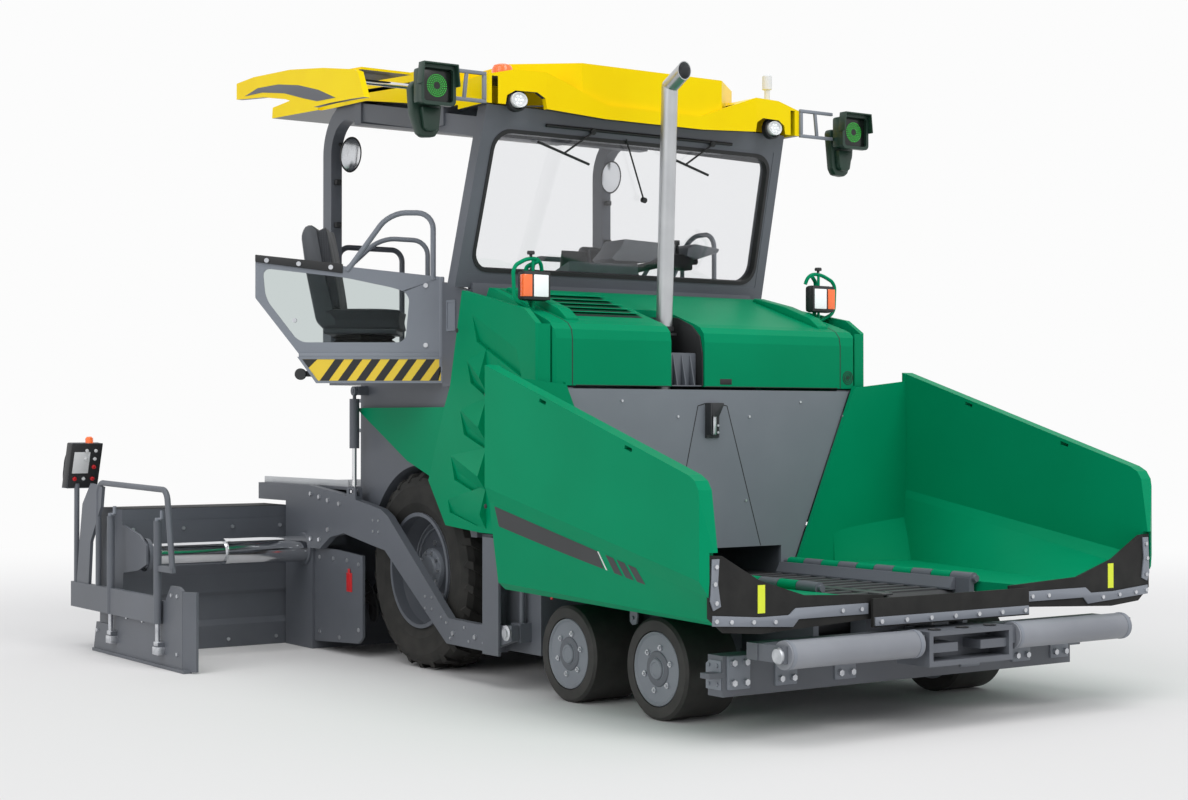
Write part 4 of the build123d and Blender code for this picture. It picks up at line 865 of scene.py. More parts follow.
# ---- lamps, beacon and aerial on the roof ----
# An oval white bezel with six small lamps in each front corner, an orange beacon moulded into
# the right corner and a white aerial on the left one.
LAMP_AT = (0, 1.097, 3.846)
# moulded white plastic, evenly glossy
white_plastic = coated("white plastic", "#ECEDEE", "#E4E5E6", 0.4, 0.01, 0.0002, dust=0)


def squeeze(shape, centre, tall):
    # makes a round shape oval about its own middle
    place = Matrix.Translation(Vector(centre))
    bmesh.ops.scale(shape, verts=shape.verts, vec=(1, 1, tall), space=place.inverted())


def roof_bezel(shape):
    turned(shape, [(1.085, 0.0), (1.085, 0.062), (1.116, 0.063), (1.121, 0.059), (1.117, 0.050),
                   (1.108, 0.047), (1.108, 0.0)], LAMP_AT, (1, 0, 0), 32)
    squeeze(shape, LAMP_AT, 0.80)


def roof_leds(shape):
    spots = [(0.026 * cos(pi * i / 3), 0.026 * sin(pi * i / 3)) for i in range(6)] + [(0, 0)]
    for y, z in spots:
        turned(shape, [(1.106, 0.0105), (1.112, 0.0105), (1.116, 0.006), (1.117, 0.0)],
               (0, LAMP_AT[1] + y, LAMP_AT[2] + z), (1, 0, 0), 16)


pair("roof_lamp_bezel", roof_bezel, white_plastic)
pair("roof_lamp_leds", roof_leds, lamp_glass)
pair("roof_lamp_hood", lambda shape: turned(shape, [
    (1.050, 0.0), (1.050, 0.074), (1.094, 0.074), (1.100, 0.066), (1.094, 0.058)], LAMP_AT,
    (1, 0, 0), 32), black_plastic)
single("roof_beacon", lambda shape: turned(shape, [
    (0.0, 0.0), (0.0, 0.070), (0.030, 0.070), (0.055, 0.058), (0.066, 0.030), (0.068, 0.0)],
    (0.985, -1.150, 4.030), (0, 0, 1), 32), orange_lens)
single("roof_aerial", lambda shape: turned(shape, [
    (0.0, 0.0), (0.0, 0.022), (0.120, 0.020), (0.125, 0.036), (0.220, 0.036), (0.232, 0.024),
    (0.236, 0.0)], (0.985, 1.130, 4.020), (0, 0, 1), 24), white_plastic)


# ---- lamp brackets ----
# Ladder frames of flat steel that carry a hooded signal lamp and, under it, a driver's mirror.
# The signal is a black screen with rings of small green lamps in a dark green cast case.
def ring(shape, outer, inner, across, low, high, round_out=0.0, round_in=0.0):
    # a flat frame with a hole in it
    turn = LAID[across]
    edges = []
    for outline, radius in ((outer, round_out), (inner, round_in)):
        before = set(shape.faces)
        corners = [shape.verts.new(turn(a, b, low)) for a, b in outline]
        shape.faces.new(corners)
        if radius:
            bmesh.ops.bevel(shape, geom=corners, offset=radius, segments=6, profile=0.5,
                            affect="VERTICES", material=-1)
        fresh = [f for f in shape.faces if f not in before]
        edges += [e for f in fresh for e in f.edges]
        bmesh.ops.delete(shape, geom=fresh, context="FACES_ONLY")
    faces = bmesh.ops.bridge_loops(shape, edges=edges)["faces"]
    grown = bmesh.ops.extrude_face_region(shape, geom=faces)["geom"]
    bmesh.ops.translate(shape, verts=[v for v in grown if isinstance(v, bmesh.types.BMVert)],
                        vec=turn(0, 0, high - low))


def rectangle(y0, y1, z0, z1):
    return [(y0, z0), (y1, z0), (y1, z1), (y0, z1)]


SIGNAL_Y, SIGNAL_Z = 1.778, 3.862


def ladder(shape):
    for y1, z0, z1 in ((1.662, 3.984, 4.008), (1.662, 3.802, 3.826), (1.372, 3.826, 3.984)):
        slab(shape, 1.084, 1.106, 1.346, y1, z0, z1, 0.004)
    plate(shape, [(1.500, 3.826), (1.524, 3.826), (1.506, 3.984), (1.482, 3.984)], "yz", 1.086,
          1.104, 0.003)


def signal_case(shape):
    ring(shape, rectangle(1.650, 1.905, 3.735, 3.990), rectangle(1.672, 1.883, 3.757, 3.968),
         "yz", 1.190, 1.226, 0.034, 0.020)
    slab(shape, 1.090, 1.196, 1.664, 1.891, 3.750, 3.976, 0.018)
    plate(shape, [(1.636, 3.860), (1.650, 4.000), (1.905, 4.000), (1.919, 3.860), (1.909, 3.860),
                  (1.897, 3.990), (1.658, 3.990), (1.646, 3.860)], "yz", 1.192, 1.262, 0.002)


def signal_screen(shape):
    slab(shape, 1.188, 1.2018, 1.668, 1.887, 3.752, 3.972, 0.002)


def signal_dots(shape):
    for radius, count in ((0.030, 13), (0.043, 18), (0.056, 24), (0.069, 30)):
        for i in range(count):
            turn = 2 * pi * i / count
            y, z = SIGNAL_Y + radius * cos(turn), SIGNAL_Z + radius * sin(turn)
            bar(shape, (1.2015, y, z), (1.2045, y, z), 0.0036, 8)


def mirror_case(shape):
    plate(shape, [(1.665, 3.890), (1.868, 3.905), (1.898, 3.860), (1.885, 3.700), (1.835, 3.570),
                  (1.800, 3.548), (1.712, 3.556), (1.684, 3.600), (1.655, 3.860)], "yz", 1.010,
          1.078, 0.014)
    plate(shape, [(1.700, 3.735), (1.840, 3.735), (1.815, 3.600), (1.790, 3.580), (1.728, 3.586),
                  (1.712, 3.610)], "yz", 1.078, 1.128, 0.012)


# cast aluminium in dark green enamel, and a smoked screen that the green lamps shine through
signal_green = coated("dark green cast case", "#152E24", "#1B382C", 0.4, 0.01, 0.0003, dust=0)
screen_black = coated("lamp screen", "#0B120F", "#101814", 0.25, 0.01, 0.0001, dust=0)
green_lamp = lens_material("green signal lamp", "#1FD82E", "#3CF048")
for name, build, look in (("lamp_ladder", ladder, grey_steel),
                          ("signal_case", signal_case, signal_green),
                          ("signal_screen", signal_screen, screen_black),
                          ("mirror_case", mirror_case, signal_green)):
    pair(name, build, look, stands_for=("lamp_brackets",))
pair("signal_dots", signal_dots, green_lamp)


# ---- windscreen ----
# One laminated pane held in a black rubber seal with rounded corners. The canopy's sheet
# steel fills the corners outside the seal. Two wipers park along the upper edge.
SCREEN_RISE = Vector((0.265, 0, 0.973))
SCREEN_H = SCREEN_RISE.length
SCREEN_OUT = Vector((0.973, 0, -0.265)).normalized()


def onto_screen(shape):
    # from a drawing flat in Y and height to the sloping pane, X standing out of it
    place = Matrix.Identity(4)
    place.col[0].xyz = SCREEN_OUT
    place.col[1].xyz = Vector((0, 1, 0))
    place.col[2].xyz = SCREEN_RISE.normalized()
    place.col[3].xyz = Vector((0.700, 0, 2.720))
    bmesh.ops.transform(shape, matrix=place, verts=shape.verts)


def screen_corners(shape):
    ring(shape, [(-1.2505, -0.001), (1.2505, -0.001), (1.2115, SCREEN_H), (-1.2115, SCREEN_H)],
         [(-1.222, 0.026), (1.222, 0.026), (1.184, SCREEN_H - 0.030), (-1.184, SCREEN_H - 0.030)],
         "yz", -0.099, -0.003, 0.0, 0.130)
    onto_screen(shape)


def screen_seal(shape):
    ring(shape, [(-1.232, 0.016), (1.232, 0.016), (1.194, SCREEN_H - 0.020),
                 (-1.194, SCREEN_H - 0.020)],
         [(-1.208, 0.042), (1.208, 0.042), (1.170, SCREEN_H - 0.046), (-1.170, SCREEN_H - 0.046)],
         "yz", -0.050, 0.004, 0.136, 0.118)
    onto_screen(shape)


def wipers(shape):
    for y in (-0.42, 0.62):
        # hub, arm and blade
        tip = y - 0.207
        bar(shape, (0.010, y, SCREEN_H + 0.02), (0.030, y, SCREEN_H + 0.02), 0.022)
        bar(shape, (0.028, y, SCREEN_H + 0.02), (0.016, tip, SCREEN_H - 0.145), 0.007)
        bar(shape, (0.012, tip - 0.22, SCREEN_H - 0.085), (0.012, tip + 0.22, SCREEN_H - 0.205),
            0.009, 8)
    # the rail over the blades, and the middle wiper's arm and foot
    bar(shape, (0.012, -0.80, SCREEN_H + 0.030), (0.012, 0.80, SCREEN_H + 0.030), 0.011)
    bar(shape, (0.014, -0.13, SCREEN_H - 0.010), (0.014, 0.10, SCREEN_H - 0.420), 0.006)
    bar(shape, (0.000, 0.10, SCREEN_H - 0.420), (0.030, 0.10, SCREEN_H - 0.420), 0.020, 16)
    onto_screen(shape)


def see_through(name, tint, roughness, ior, ripple):
    # a clear sheet: the reflections waver a little over the ripple's length
    material = blank_material(name)
    bumps = surface(material, 0.00005, ripple)[1]
    sheet = add(material, "ShaderNodeBsdfPrincipled",
                {"Base Color": linear(tint), "Roughness": roughness, "IOR": ior,
                 "Transmission Weight": 1.0, "Normal": bumps})
    add(material, "ShaderNodeOutputMaterial", {"Surface": sheet.outputs[0]})
    return material


glass = see_through("laminated glass", "#ECEDEF", 0.02, 1.45, 0.3)
dress(glass, "windscreen")
single("screen_corners", screen_corners, anthracite)
single("screen_seal", screen_seal, matt_black)
single("screen_wipers", wipers, matt_black)


# ---- operator's consoles ----
# A clear polycarbonate panel with a grey printed border, a hazard-striped kick board, two
# tube hoops and a floor plate that swing out together on a pin at the front.
CONSOLE_PIN = Matrix.Translation(Vector((0.300, -1.180, 0)))
CONSOLE_SWING = CONSOLE_PIN @ Matrix.Rotation(radians(55), 4, "Z") @ CONSOLE_PIN.inverted()


def swing_out(shape):
    # the right console stands swung out about its pin
    other_side(shape)
    bmesh.ops.transform(shape, matrix=CONSOLE_SWING, verts=shape.verts)


def console_piece(name, build, material, stands_for=("console_{side}",)):
    return pair(name, build, material, "console_{side}", swing_out, stands_for)


PANEL = [(0.270, 2.190), (0.270, 2.720), (-1.000, 2.860), (-1.000, 2.575), (-0.700, 2.190)]
PANEL_CLEAR = [(0.060, 2.600), (0.030, 2.270), (-0.700, 2.270), (-0.930, 2.570), (-0.950, 2.780),
               (-0.387, 2.715), (-0.030, 2.640)]


def kick_board(shape):
    ring(shape, [(0.290, 1.990), (0.290, 2.170), (-0.710, 2.170), (-0.580, 1.990)],
         [(0.275, 2.006), (0.275, 2.154), (-0.676, 2.154), (-0.567, 2.006)], "xz", 1.228, 1.262)
    plate(shape, [(0.290, 2.160), (0.290, 2.196), (-0.700, 2.196), (-0.700, 2.160)], "xz", 1.226,
          1.258, 0.003)
    slab(shape, 0.262, 0.296, 1.214, 1.262, 2.10, 2.72, 0.006)


def stripes(shape):
    # leaning bars, the first and the last cut off by the ends of the board
    bars = [[(-0.632, 2.095), (-0.572, 2.153), (-0.676, 2.153)]]
    for i in range(1, 8):
        x = 0.125 * i - 0.680
        bars.append([(x, 2.007), (x + 0.062, 2.007), (x + 0.167, 2.153), (x + 0.105, 2.153)])
    bars[-1][2:3] = [(0.274, 2.088), (0.274, 2.153)]
    for outline in bars:
        plate(shape, outline, "xz", 1.2585, 1.2605)


def hoops(shape):
    bent_tube(shape, [(x, 1.240, z) for x, z in (
        (0.220, 2.700), (0.220, 3.160), (-0.080, 3.160), (-0.370, 2.760))], 0.019, 0.110)
    bent_tube(shape, [(x, 0.980, z) for x, z in (
        (0.160, 2.100), (0.160, 2.990), (-0.170, 3.010), (-0.420, 2.780))], 0.017, 0.100)


def console_floor(shape):
    slab(shape, -0.640, 0.290, 1.228, 1.236, 2.068, 2.094, 0.003)
    plate(shape, [(0.290, 1.230), (-0.640, 1.230), (-0.640, 0.480), (0.180, 0.480)], "xy", 2.068,
          2.094, 0.003)
    bar(shape, (0.300, 1.180, 2.005), (0.300, 1.180, 2.200), 0.032, 32)
    plate(shape, [(0.320, 1.180), (0.250, 1.230), (0.150, 1.230), (0.270, 1.155)], "xy", 2.170,
          2.200, 0.004)
    plate(shape, [(-0.585, 1.99), (-0.540, 1.99), (-0.600, 2.090), (-0.650, 2.090)], "xz", 1.212,
          1.236, 0.004)


# faintly grey, its index set low because the thin sheet hardly bends the view through it
polycarbonate = see_through("clear polycarbonate", "#CBD3D2", 0.05, 1.15, 0.2)
# warning yellow foil
stripe_yellow = coated("hazard yellow", "#F0CE3C", "#EAC634", 0.45, 0.02, 0.0001, dust=0)
console_piece("panel_clear", lambda shape: plate(shape, PANEL, "xz", 1.2400, 1.2455),
              polycarbonate)
console_piece("panel_border", lambda shape: (
    ring(shape, PANEL, PANEL_CLEAR, "xz", 1.2375, 1.2480, 0.010, 0.055)), grey_steel)
console_piece("kick_board", kick_board, grey_steel)
console_piece("kick_board_yellow", lambda shape: plate(shape, [
    (0.278, 2.002), (0.278, 2.158), (-0.680, 2.158), (-0.570, 2.002)], "xz", 1.2350, 1.2588),
    stripe_yellow)
console_piece("kick_board_stripes", stripes, matt_black)
console_piece("console_hoops", hoops, grey_steel)
console_piece("console_floor", console_floor, anthracite)
console_piece("console_top_rail", lambda shape: plate(shape, [
    (-1.000, 2.822), (-1.000, 2.872), (-0.400, 2.808), (-0.400, 2.744)], "xz", 1.222, 1.262,
    0.005), black_plastic)
console_piece("console_screws", lambda shape: (
    heads("xz", 1.248, ((0.170, 2.250), (0.170, 2.660), (-0.730, 2.420)), 0.034, 0.008,
          20)(shape),
    heads("xz", 1.262, [(x, 2.840 - 0.107 * (x + 1.0)) for x in (-0.92, -0.70, -0.48)], 0.034,
          0.008, 20)(shape)), zinc)
console_piece("console_roller", lambda shape: (
    turned(shape, [(1.215, 0.0), (1.215, 0.036), (1.222, 0.040), (1.248, 0.040), (1.255, 0.036),
                   (1.255, 0.0)], (-0.690, 0, 2.052), steps=24),
    slab(shape, -0.700, -0.600, 1.205, 1.215, 2.035, 2.075, 0.004)), black_plastic)


# ---- seats ----
# Suspended operator's seats: foam cushions under dark grey woven cloth with bolsters and sewn
# channels, a moulded back shell and a rubber bellows over the spring base.
def woven_cloth(name):
    material = blank_material(name)
    place = add(material, "ShaderNodeTexCoord").outputs["Object"]
    # 2 mm weave, drawn at 6 mm so that it shows
    threads = [add(material, "ShaderNodeTexWave", {"Vector": place, "Scale": 26.0,
                                                   "Distortion": 0.6}, bands_direction=way)
               .outputs["Fac"] for way in "XZ"]
    weave = add(material, "ShaderNodeMath", {0: threads[0], 1: threads[1]},
                operation="MULTIPLY").outputs[0]
    bumps = add(material, "ShaderNodeBump", {"Height": weave, "Strength": 0.4,
                                             "Distance": 0.0012}).outputs["Normal"]
    colour = add(material, "ShaderNodeMix", {0: weave, 6: linear("#34363A"), 7: linear("#484A4F")},
                 data_type="RGBA").outputs[2]
    shader = add(material, "ShaderNodeBsdfPrincipled",
                 {"Base Color": colour, "Roughness": 0.9, "Normal": bumps, "Sheen Weight": 0.3})
    add(material, "ShaderNodeOutputMaterial", {"Surface": shader.outputs[0]})
    return material


def pillow(shape, centre, size, tilt, crown=0.30):
    # a crowned pad: a box divided finely, its faces swelling towards the middle, its sides
    # drawn in between the corners, two sewn channels across it
    place = Matrix.Translation(centre) @ Matrix.Rotation(tilt, 4, "Y")
    made = bmesh.ops.create_cube(shape, size=1.0)["verts"]
    bmesh.ops.subdivide_edges(shape, edges=list({e for v in made for e in v.link_edges}), cuts=15,
                              use_grid_fill=True)
    for v in shape.verts:
        x, y, z = v.co * 2
        upper = 1 if z > 0 else 0
        swell = (1 - x ** 4) * (1 - y ** 4)
        bolster = 0.35 * max(0.0, abs(y) - 0.55) * upper
        channel = 0.10 * max(0.0, 1 - abs(abs(y) - 0.50) / 0.07) * upper
        pull = 1 - 0.05 * (1 - abs(z)) - 0.03 * (1 - abs(x)) * (1 - abs(y))
        v.co = Vector((x * size[0] / 2 * pull, y * size[1] / 2 * pull,
                       z * size[2] / 2 * (1 - crown + crown * swell + bolster - channel)))
    bmesh.ops.smooth_vert(shape, verts=shape.verts, factor=0.5, use_axis_x=True, use_axis_y=True,
                          use_axis_z=True)
    bmesh.ops.transform(shape, matrix=place, verts=shape.verts)


def seat_shell(shape):
    plate(shape, [(-0.430, 2.350), (-0.540, 2.350), (-0.610, 2.420), (-0.680, 2.760),
                  (-0.715, 3.020), (-0.690, 3.085), (-0.640, 3.100), (-0.600, 3.060),
                  (-0.550, 2.780), (-0.480, 2.480)], "xz", 0.600, 1.080, 0.040)
    slab(shape, -0.560, -0.050, 0.600, 1.080, 2.335, 2.372, 0.012)


def seat_bellows(shape):
    # seven square folds
    profile = [(2.100 + 0.017 * i, (0.150, 0.172)[i % 2]) for i in range(14)]
    profile.append((2.335, 0.150))
    foot = Vector((-0.300, 0.840, 0))
    turned(shape, profile, foot, (0, 0, 1), 4)
    bmesh.ops.rotate(shape, verts=shape.verts, cent=foot,
                     matrix=Matrix.Rotation(radians(45), 3, "Z"))
    bmesh.ops.scale(shape, verts=shape.verts, vec=(1.30, 1.18, 1),
                    space=Matrix.Translation(foot).inverted())
    slab(shape, -0.480, -0.120, 0.680, 1.000, 2.094, 2.104, 0.004)


seat_cloth = woven_cloth("dark grey woven cloth")
for name, centre, size, tilt in (
        ("seat_cushion", (-0.292, 0.840, 2.432), (0.540, 0.490, 0.170), 0.0),
        ("seat_back", (-0.545, 0.840, 2.790), (0.580, 0.450, 0.130), radians(80))):
    for piece in console_piece(name, lambda shape: pillow(shape, centre, size, tilt), seat_cloth,
                               ("seat_{side}",)):
        rounding = piece.modifiers.new("smooth", "SUBSURF")
        rounding.levels = rounding.render_levels = 1
# moulded plastic shell with a fine grain
seat_moulding = coated("grey seat moulding", "#45484D", "#4D5055", 0.5, 0.005, 0.0003, dust=0)
console_piece("seat_shell", seat_shell, seat_moulding, ("seat_{side}",))
console_piece("seat_bellows", seat_bellows, belt_rubber, ("seat_{side}",))


# ---- control desk and platform ----
# Two moulded desk tops on a bent tube, with a dark display and a hand grip between them. The
# tube is clamped to the desk's column, behind the screen. The plastic is pale, evenly satin.
desk_grey = coated("desk moulding", "#84878D", "#8E9197", 0.5, 0.006, 0.0003, dust=0)


def desk_tops(shape):
    plate(shape, [(0.080, 2.900), (0.120, 2.880), (0.420, 2.885), (0.660, 3.000), (0.660, 3.030),
                  (0.200, 3.045), (0.160, 2.980)], "yz", 0.240, 0.500, 0.012)
    plate(shape, [(0.780, 2.950), (0.880, 2.930), (1.080, 2.990), (1.090, 3.020), (0.860, 3.045),
                  (0.790, 3.010)], "yz", 0.240, 0.480, 0.012)


def desk_stand(shape):
    bar(shape, (0.380, 0.100, 2.780), (0.380, 0.640, 2.900), 0.030)
    bar(shape, (0.380, 0.640, 2.900), (0.380, 0.940, 2.925), 0.026)
    slab(shape, 0.330, 0.450, 0.640, 0.860, 2.850, 2.965, 0.014)
    bar(shape, (0.400, 0.750, 2.960), (0.390, 0.750, 3.040), 0.014)
    bar(shape, (0.390, 0.750, 3.035), (0.390, 0.750, 3.070), 0.024)
    plate(shape, [(0.240, 2.790), (0.270, 2.960), (0.290, 2.955), (0.280, 2.790)], "xz", -0.200,
          0.020, 0.004)


single("desk_tops", desk_tops, desk_grey)
single("desk_stand", desk_stand, black_plastic)


def blank_badge(shape):
    # a plain framed plate at the platform's front corner
    ring(shape, rectangle(0.452, 0.566, 2.342, 2.552), rectangle(0.464, 0.554, 2.358, 2.536),
         "xz", 1.2555, 1.2640, 0.008, 0.004)
    plate(shape, rectangle(0.460, 0.558, 2.350, 2.544), "xz", 1.2555, 1.2590)


pair("corner_plate", blank_badge, grey_steel)


# ---- back of the machine ----
# Hinged service panels of sheet steel with louvres and a recessed pull, two grab rungs of bent
# tube and a tail lamp in a black moulded case on each side, all bolted to the housing.
TAIL_FACE = -0.924


def service_panel(shape):
    slab(shape, -0.886, -0.878, 0.080, 0.760, 1.080, 1.900, 0.003)
    for z in (1.52 + 0.045 * i for i in range(7)):
        plate(shape, [(-0.884, z), (-0.896, z + 0.006), (-0.884, z + 0.030)], "xz", 0.16, 0.68)
    slab(shape, -0.894, -0.884, 0.330, 0.480, 1.300, 1.340, 0.004)


def rungs(shape):
    for z in (1.660, 1.880):
        bent_tube(shape, [(-0.875, 0.860, z), (-1.000, 0.860, z), (-1.000, 1.180, z),
                          (-0.875, 1.180, z)], 0.014, 0.040)


def tail_lens(y0, y1):
    return lambda shape: slab(shape, TAIL_FACE, TAIL_FACE + 0.010, y0, y1, 1.920, 1.982, 0.004)


red_lens = lens_material("red ribbed lens", "#B5141B", "#D8242B")
pair("service_panel", service_panel, grey_steel)
pair("grab_rungs", rungs, grey_steel)
pair("tail_lamp_case", lambda shape: slab(
    shape, TAIL_FACE + 0.006, TAIL_FACE + 0.046, 1.060, 1.190, 1.912, 1.990, 0.008), black_plastic)
pair("tail_lamp_lens", tail_lens(1.126, 1.182), orange_lens)
pair("stop_lamp_lens", tail_lens(1.068, 1.120), red_lens)


# ---- canopy fittings ----
# A convex mirror of chromed glass in a black moulded shell on a short arm at each rear post, and
# moulded latch blocks for the weather screens, screwed to the post.
MIRROR_AT = Vector((-1.070, 1.190, 3.720))
MIRROR_TILT = Vector((0.90, -0.10, -0.25))


def mirror_back(shape):
    turned(shape, [(-0.030, 0.0), (-0.026, 0.060), (-0.006, 0.092), (0.004, 0.094), (0.006, 0.088),
                   (0.002, 0.086), (0.002, 0.0)], MIRROR_AT, MIRROR_TILT, 32)
    squeeze(shape, MIRROR_AT, 1.45)
    bar(shape, MIRROR_AT - MIRROR_TILT * 0.02, (-1.215, 1.225, 3.830), 0.011)


def mirror_glass(shape):
    turned(shape, [(0.002, 0.085), (0.006, 0.060), (0.008, 0.030), (0.009, 0.0)], MIRROR_AT,
           MIRROR_TILT, 32)
    squeeze(shape, MIRROR_AT, 1.45)


pair("canopy_mirror", mirror_back, black_plastic)
pair("canopy_mirror_glass", mirror_glass, chrome)
pair("post_latches", lambda shape: [
    slab(shape, -1.204, -1.160, 1.215, 1.262, z, z + 0.040, 0.005) for z in (2.86, 3.18, 3.50)],
    black_plastic)


# ---- screed ----
# Heavy welded steel boxes with a bright chequer-plate walkway on the main screed and black
# grip-coated steps on the extensions. The tow arms and wear plates are bolted to their sides,
# and flat ribs stiffen the plates behind.
EXTENSION = "screed_extension_{side}"
TUNNEL_FACE = 1.263
ARM_FACE = 1.328
MAIN_REAR = -1.958
EXTENSION_REAR = -2.449
# aluminium chequer plate: pale and fairly bright, worn by boots
bright_plate = coated("bright tread plate", "#C9CBCD", "#BDBFC2", 0.34, 0.02, 0.0006, dust=0.3)
# black grip coat with sand in it: quite matt
tread_black = coated("black tread coat", "#202123", "#2A2B2D", 0.8, 0.012, 0.0012, dust=0.3)
# bright red gloss paint on what has to be found quickly
red_paint = coated("red paint", "#D81F26", "#CF1C24", 0.4, 0.01, 0.0002, dust=0.1)


def walkway(shape):
    slab(shape, -2.440, -1.012, -1.238, 1.238, 1.240, 1.246, 0.002)
    for y in (-1.238, 1.228):
        slab(shape, -2.440, -1.012, y, y + 0.010, 1.240, 1.290, 0.003)
    for x in (-2.41 + 0.058 * i for i in range(24)):
        slab(shape, x, x + 0.012, -1.20, 1.20, 1.2455, 1.2485, 0.001)


single("screed_walkway", walkway, bright_plate, "screed")
pair("extension_tread", lambda shape: slab(
    shape, -2.445, -2.010, 1.240, 2.595, 1.068, 1.074, 0.002), tread_black, EXTENSION)
pair("extension_bolts", lambda shape: (
    heads("yz", -1.995, [(y, z) for y in (1.32, 1.72, 2.12, 2.52) for z in (0.72, 0.92)],
          0.030, 0.012)(shape),
    heads("yz", -1.975, [(y, 0.06) for y in (1.36, 1.76, 2.16, 2.54)], 0.030, 0.010)(shape)),
    zinc, EXTENSION)
pair("tunnel_bolts", heads("xz", TUNNEL_FACE, (
    (-1.42, 0.70), (-1.20, 0.70), (-0.98, 0.70), (-0.80, 0.68), (-0.80, 0.20), (-1.42, 0.14),
    (-1.10, 0.12)), 0.034, 0.006), zinc, "screed")
pair("tunnel_latch", lambda shape: (
    slab(shape, -0.985, -0.900, TUNNEL_FACE, TUNNEL_FACE + 0.005, 0.470, 0.610, 0.002),
    slab(shape, -0.960, -0.925, TUNNEL_FACE + 0.0035, TUNNEL_FACE + 0.008, 0.500, 0.640, 0.002)),
    red_paint, "screed")
pair("tow_arm_bolts", heads("xz", ARM_FACE, (
    (-1.44, 1.18), (-1.30, 1.16), (-1.16, 1.14), (-1.44, 0.84), (-1.30, 0.84), (-1.16, 0.92),
    (-0.98, 1.12), (0.66, 0.31), (0.94, 0.31), (1.16, 0.33)), 0.036, 0.012), zinc, "screed")
pair("tow_arm_screws", heads("xz", ARM_FACE, (
    (-0.46, 1.02), (-0.38, 1.02), (-0.46, 0.94), (-0.38, 0.94), (0.285, 0.530), (0.375, 0.530),
    (0.285, 0.450), (0.375, 0.450), (0.50, 0.405), (0.57, 0.375), (0.62, 0.275), (0.80, 0.360),
    (0.86, 0.275), (1.04, 0.280)), 0.020, 0.006), zinc, "screed")
pair("tow_pivot", lambda shape: turned(shape, [
    (1.326, 0.0), (1.326, 0.052), (1.340, 0.050), (1.344, 0.030), (1.352, 0.028), (1.352, 0.0)],
    (1.330, 0, 0.370)), zinc, "screed")
pair("rear_main_bolts", heads("yz", MAIN_REAR - 0.002, [
    (y, z) for y in (0.14, 0.52, 0.90) for z in (0.18, 0.50, 0.82)], 0.026, 0.008, way=-1), zinc,
    "screed")
pair("rear_main_ribs", lambda shape: [
    slab(shape, MAIN_REAR - 0.009, MAIN_REAR, 0.010, y1, z0, z1, 0.002)
    for y1, z0, z1 in ((1.200, 0.330, 0.344), (1.200, 0.660, 0.674), (0.022, 0.100, 0.960))],
    grey_steel, "screed")
pair("rear_panel_bolts", heads("yz", EXTENSION_REAR - 0.001, [
    (y, z) for y in (1.34, 1.76, 2.18, 2.54) for z in (0.16, 0.50, 0.84)], 0.028, 0.010, way=-1),
    zinc, EXTENSION)
pair("rear_panel_ribs", lambda shape: [
    slab(shape, EXTENSION_REAR - 0.009, EXTENSION_REAR, 1.26, 2.58, z, z + 0.016, 0.002)
    for z in (0.300, 0.690)], grey_steel, EXTENSION)
pair("screed_strap", lambda shape: slab(
    shape, 1.655, 1.680, 1.206, 1.214, 0.605, 0.760, 0.003), red_paint)


# ---- end gates ----
# Steel plates that run beside the mat. Each hangs on two threaded spindles of plated steel,
# held by split clamps, with a crank head on top of each spindle.
SPINDLES = (-1.935, -1.050)
SPINDLE_Y = 2.715


def spindles(shape):
    for x in SPINDLES:
        turned(shape, [(0.180, 0.0), (0.180, 0.0163), (0.800, 0.0163), (0.800, 0.0)],
               (x, SPINDLE_Y, 0), (0, 0, 1), 16)


def gate_clamps(shape):
    for x in SPINDLES:
        slab(shape, x - 0.048, x + 0.048, 2.668, 2.735, 0.094, 0.150, 0.005)
        slab(shape, x - 0.034, x + 0.034, 2.668, 2.732, 0.156, 0.186, 0.005)


def crank_heads(shape):
    for x in SPINDLES:
        grip = x + 0.075
        bar(shape, (x, SPINDLE_Y, 1.028), (x, SPINDLE_Y, 1.052), 0.020, 16)
        bar(shape, (x, SPINDLE_Y, 1.040), (grip, SPINDLE_Y, 1.052), 0.009, 12)
        bar(shape, (grip, SPINDLE_Y, 1.050), (grip, SPINDLE_Y, 1.105), 0.013, 16)


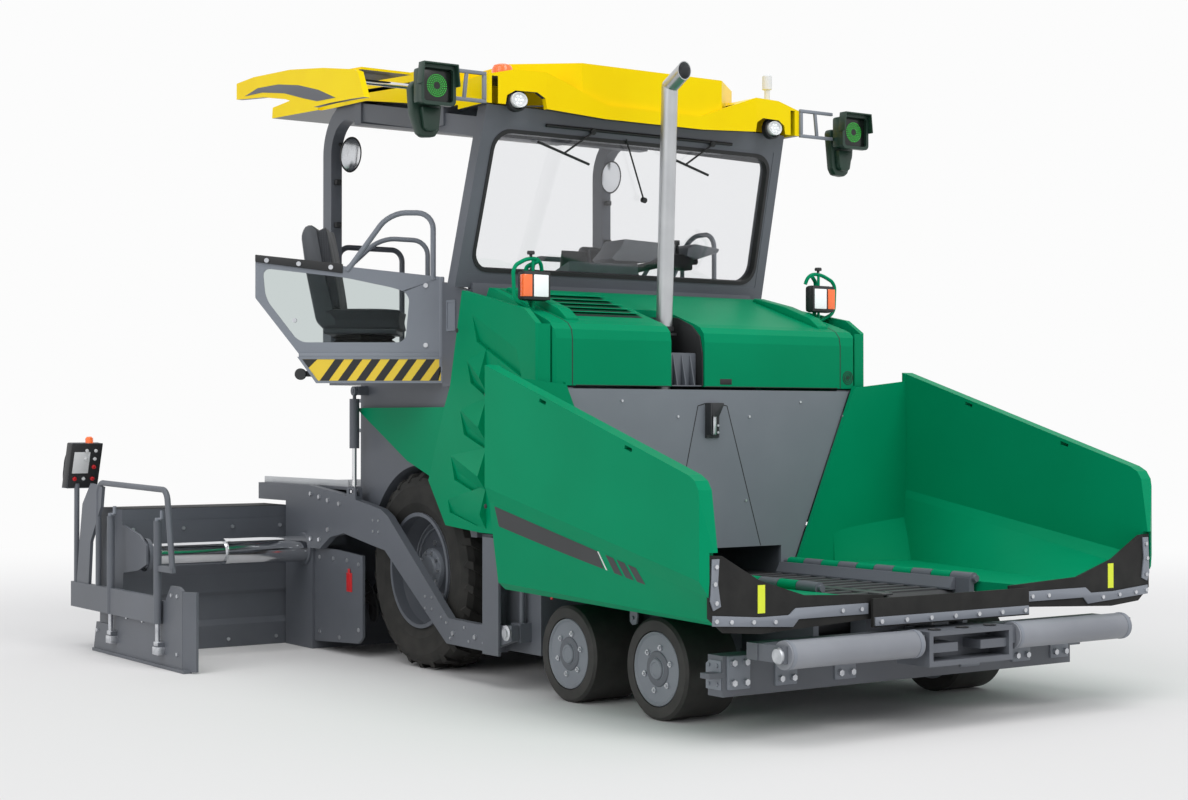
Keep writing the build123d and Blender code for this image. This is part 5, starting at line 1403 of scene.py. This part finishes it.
pair("gate_spindles", spindles, zinc, "end_gate_{side}")
pair("gate_clamps", gate_clamps, zinc, "end_gate_{side}")
pair("gate_cranks", crank_heads, grey_steel, EXTENSION)
pair("gate_bolts", heads("xz", 2.680, (
    (-2.28, 0.16), (-1.70, 0.30), (-1.40, 0.30), (-0.78, 0.52), (-0.78, 0.12), (-0.88, 0.52)),
    0.030, 0.010), zinc, "end_gate_{side}")


# ---- screed control boxes ----
# A black moulded box with a carrying bow of bent rod, hung on the extension's outer end. An
# orange stop button stands on top, red and pale keys on the sloping face.
def control_box(shape):
    plate(shape, [(-2.757, 1.220), (-2.650, 1.212), (-2.526, 1.558), (-2.640, 1.566)], "xz",
          2.546, 2.794, 0.010)


def box_bow(shape):
    for y in (2.556, 2.784):
        bent_tube(shape, [(x, y, z) for x, z in (
            (-2.700, 1.220), (-2.740, 1.300), (-2.700, 1.440), (-2.655, 1.480))], 0.008, 0.030)


def key(shape, profile, share, y):
    # a round key on the sloping face, its place given as a share of the way up
    turned(shape, profile, (-2.650 + 0.124 * share, y, 1.212 + 0.346 * share), (0.94, 0, -0.34),
           16)


pair("control_box", control_box, black_plastic, EXTENSION)
pair("control_box_bow", box_bow, matt_black, EXTENSION)
# the stop button takes the orange lamp lens, which glows a little though the button is no lamp: a
# painted glow
pair("control_box_knob", lambda shape: turned(shape, [
    (0.0, 0.0), (0.0, 0.030), (0.040, 0.030), (0.052, 0.020), (0.054, 0.0)],
    (-2.575, 2.640, 1.556), (-0.15, 0, 1), 24), orange_lens, EXTENSION)
RED_KEY = [(0.0, 0.0), (0.0, 0.016), (0.010, 0.016), (0.014, 0.010), (0.014, 0.0)]
PALE_KEY = [(0.0, 0.0), (0.0, 0.013), (0.008, 0.013), (0.010, 0.009), (0.010, 0.0)]
pair("control_box_keys", lambda shape: [
    key(shape, RED_KEY, share, y)
    for share, y in ((0.22, 2.600), (0.22, 2.740), (0.48, 2.600))], red_paint, EXTENSION)
pair("control_box_screen", lambda shape: (
    plate(shape, [(-2.612, 1.330), (-2.606, 1.328), (-2.549, 1.492), (-2.555, 1.494)], "xz", 2.640,
          2.765, 0.001),
    [key(shape, PALE_KEY, share, y) for share in (0.22, 0.66, 0.84) for y in (2.600, 2.670)]),
    white_plastic, EXTENSION)
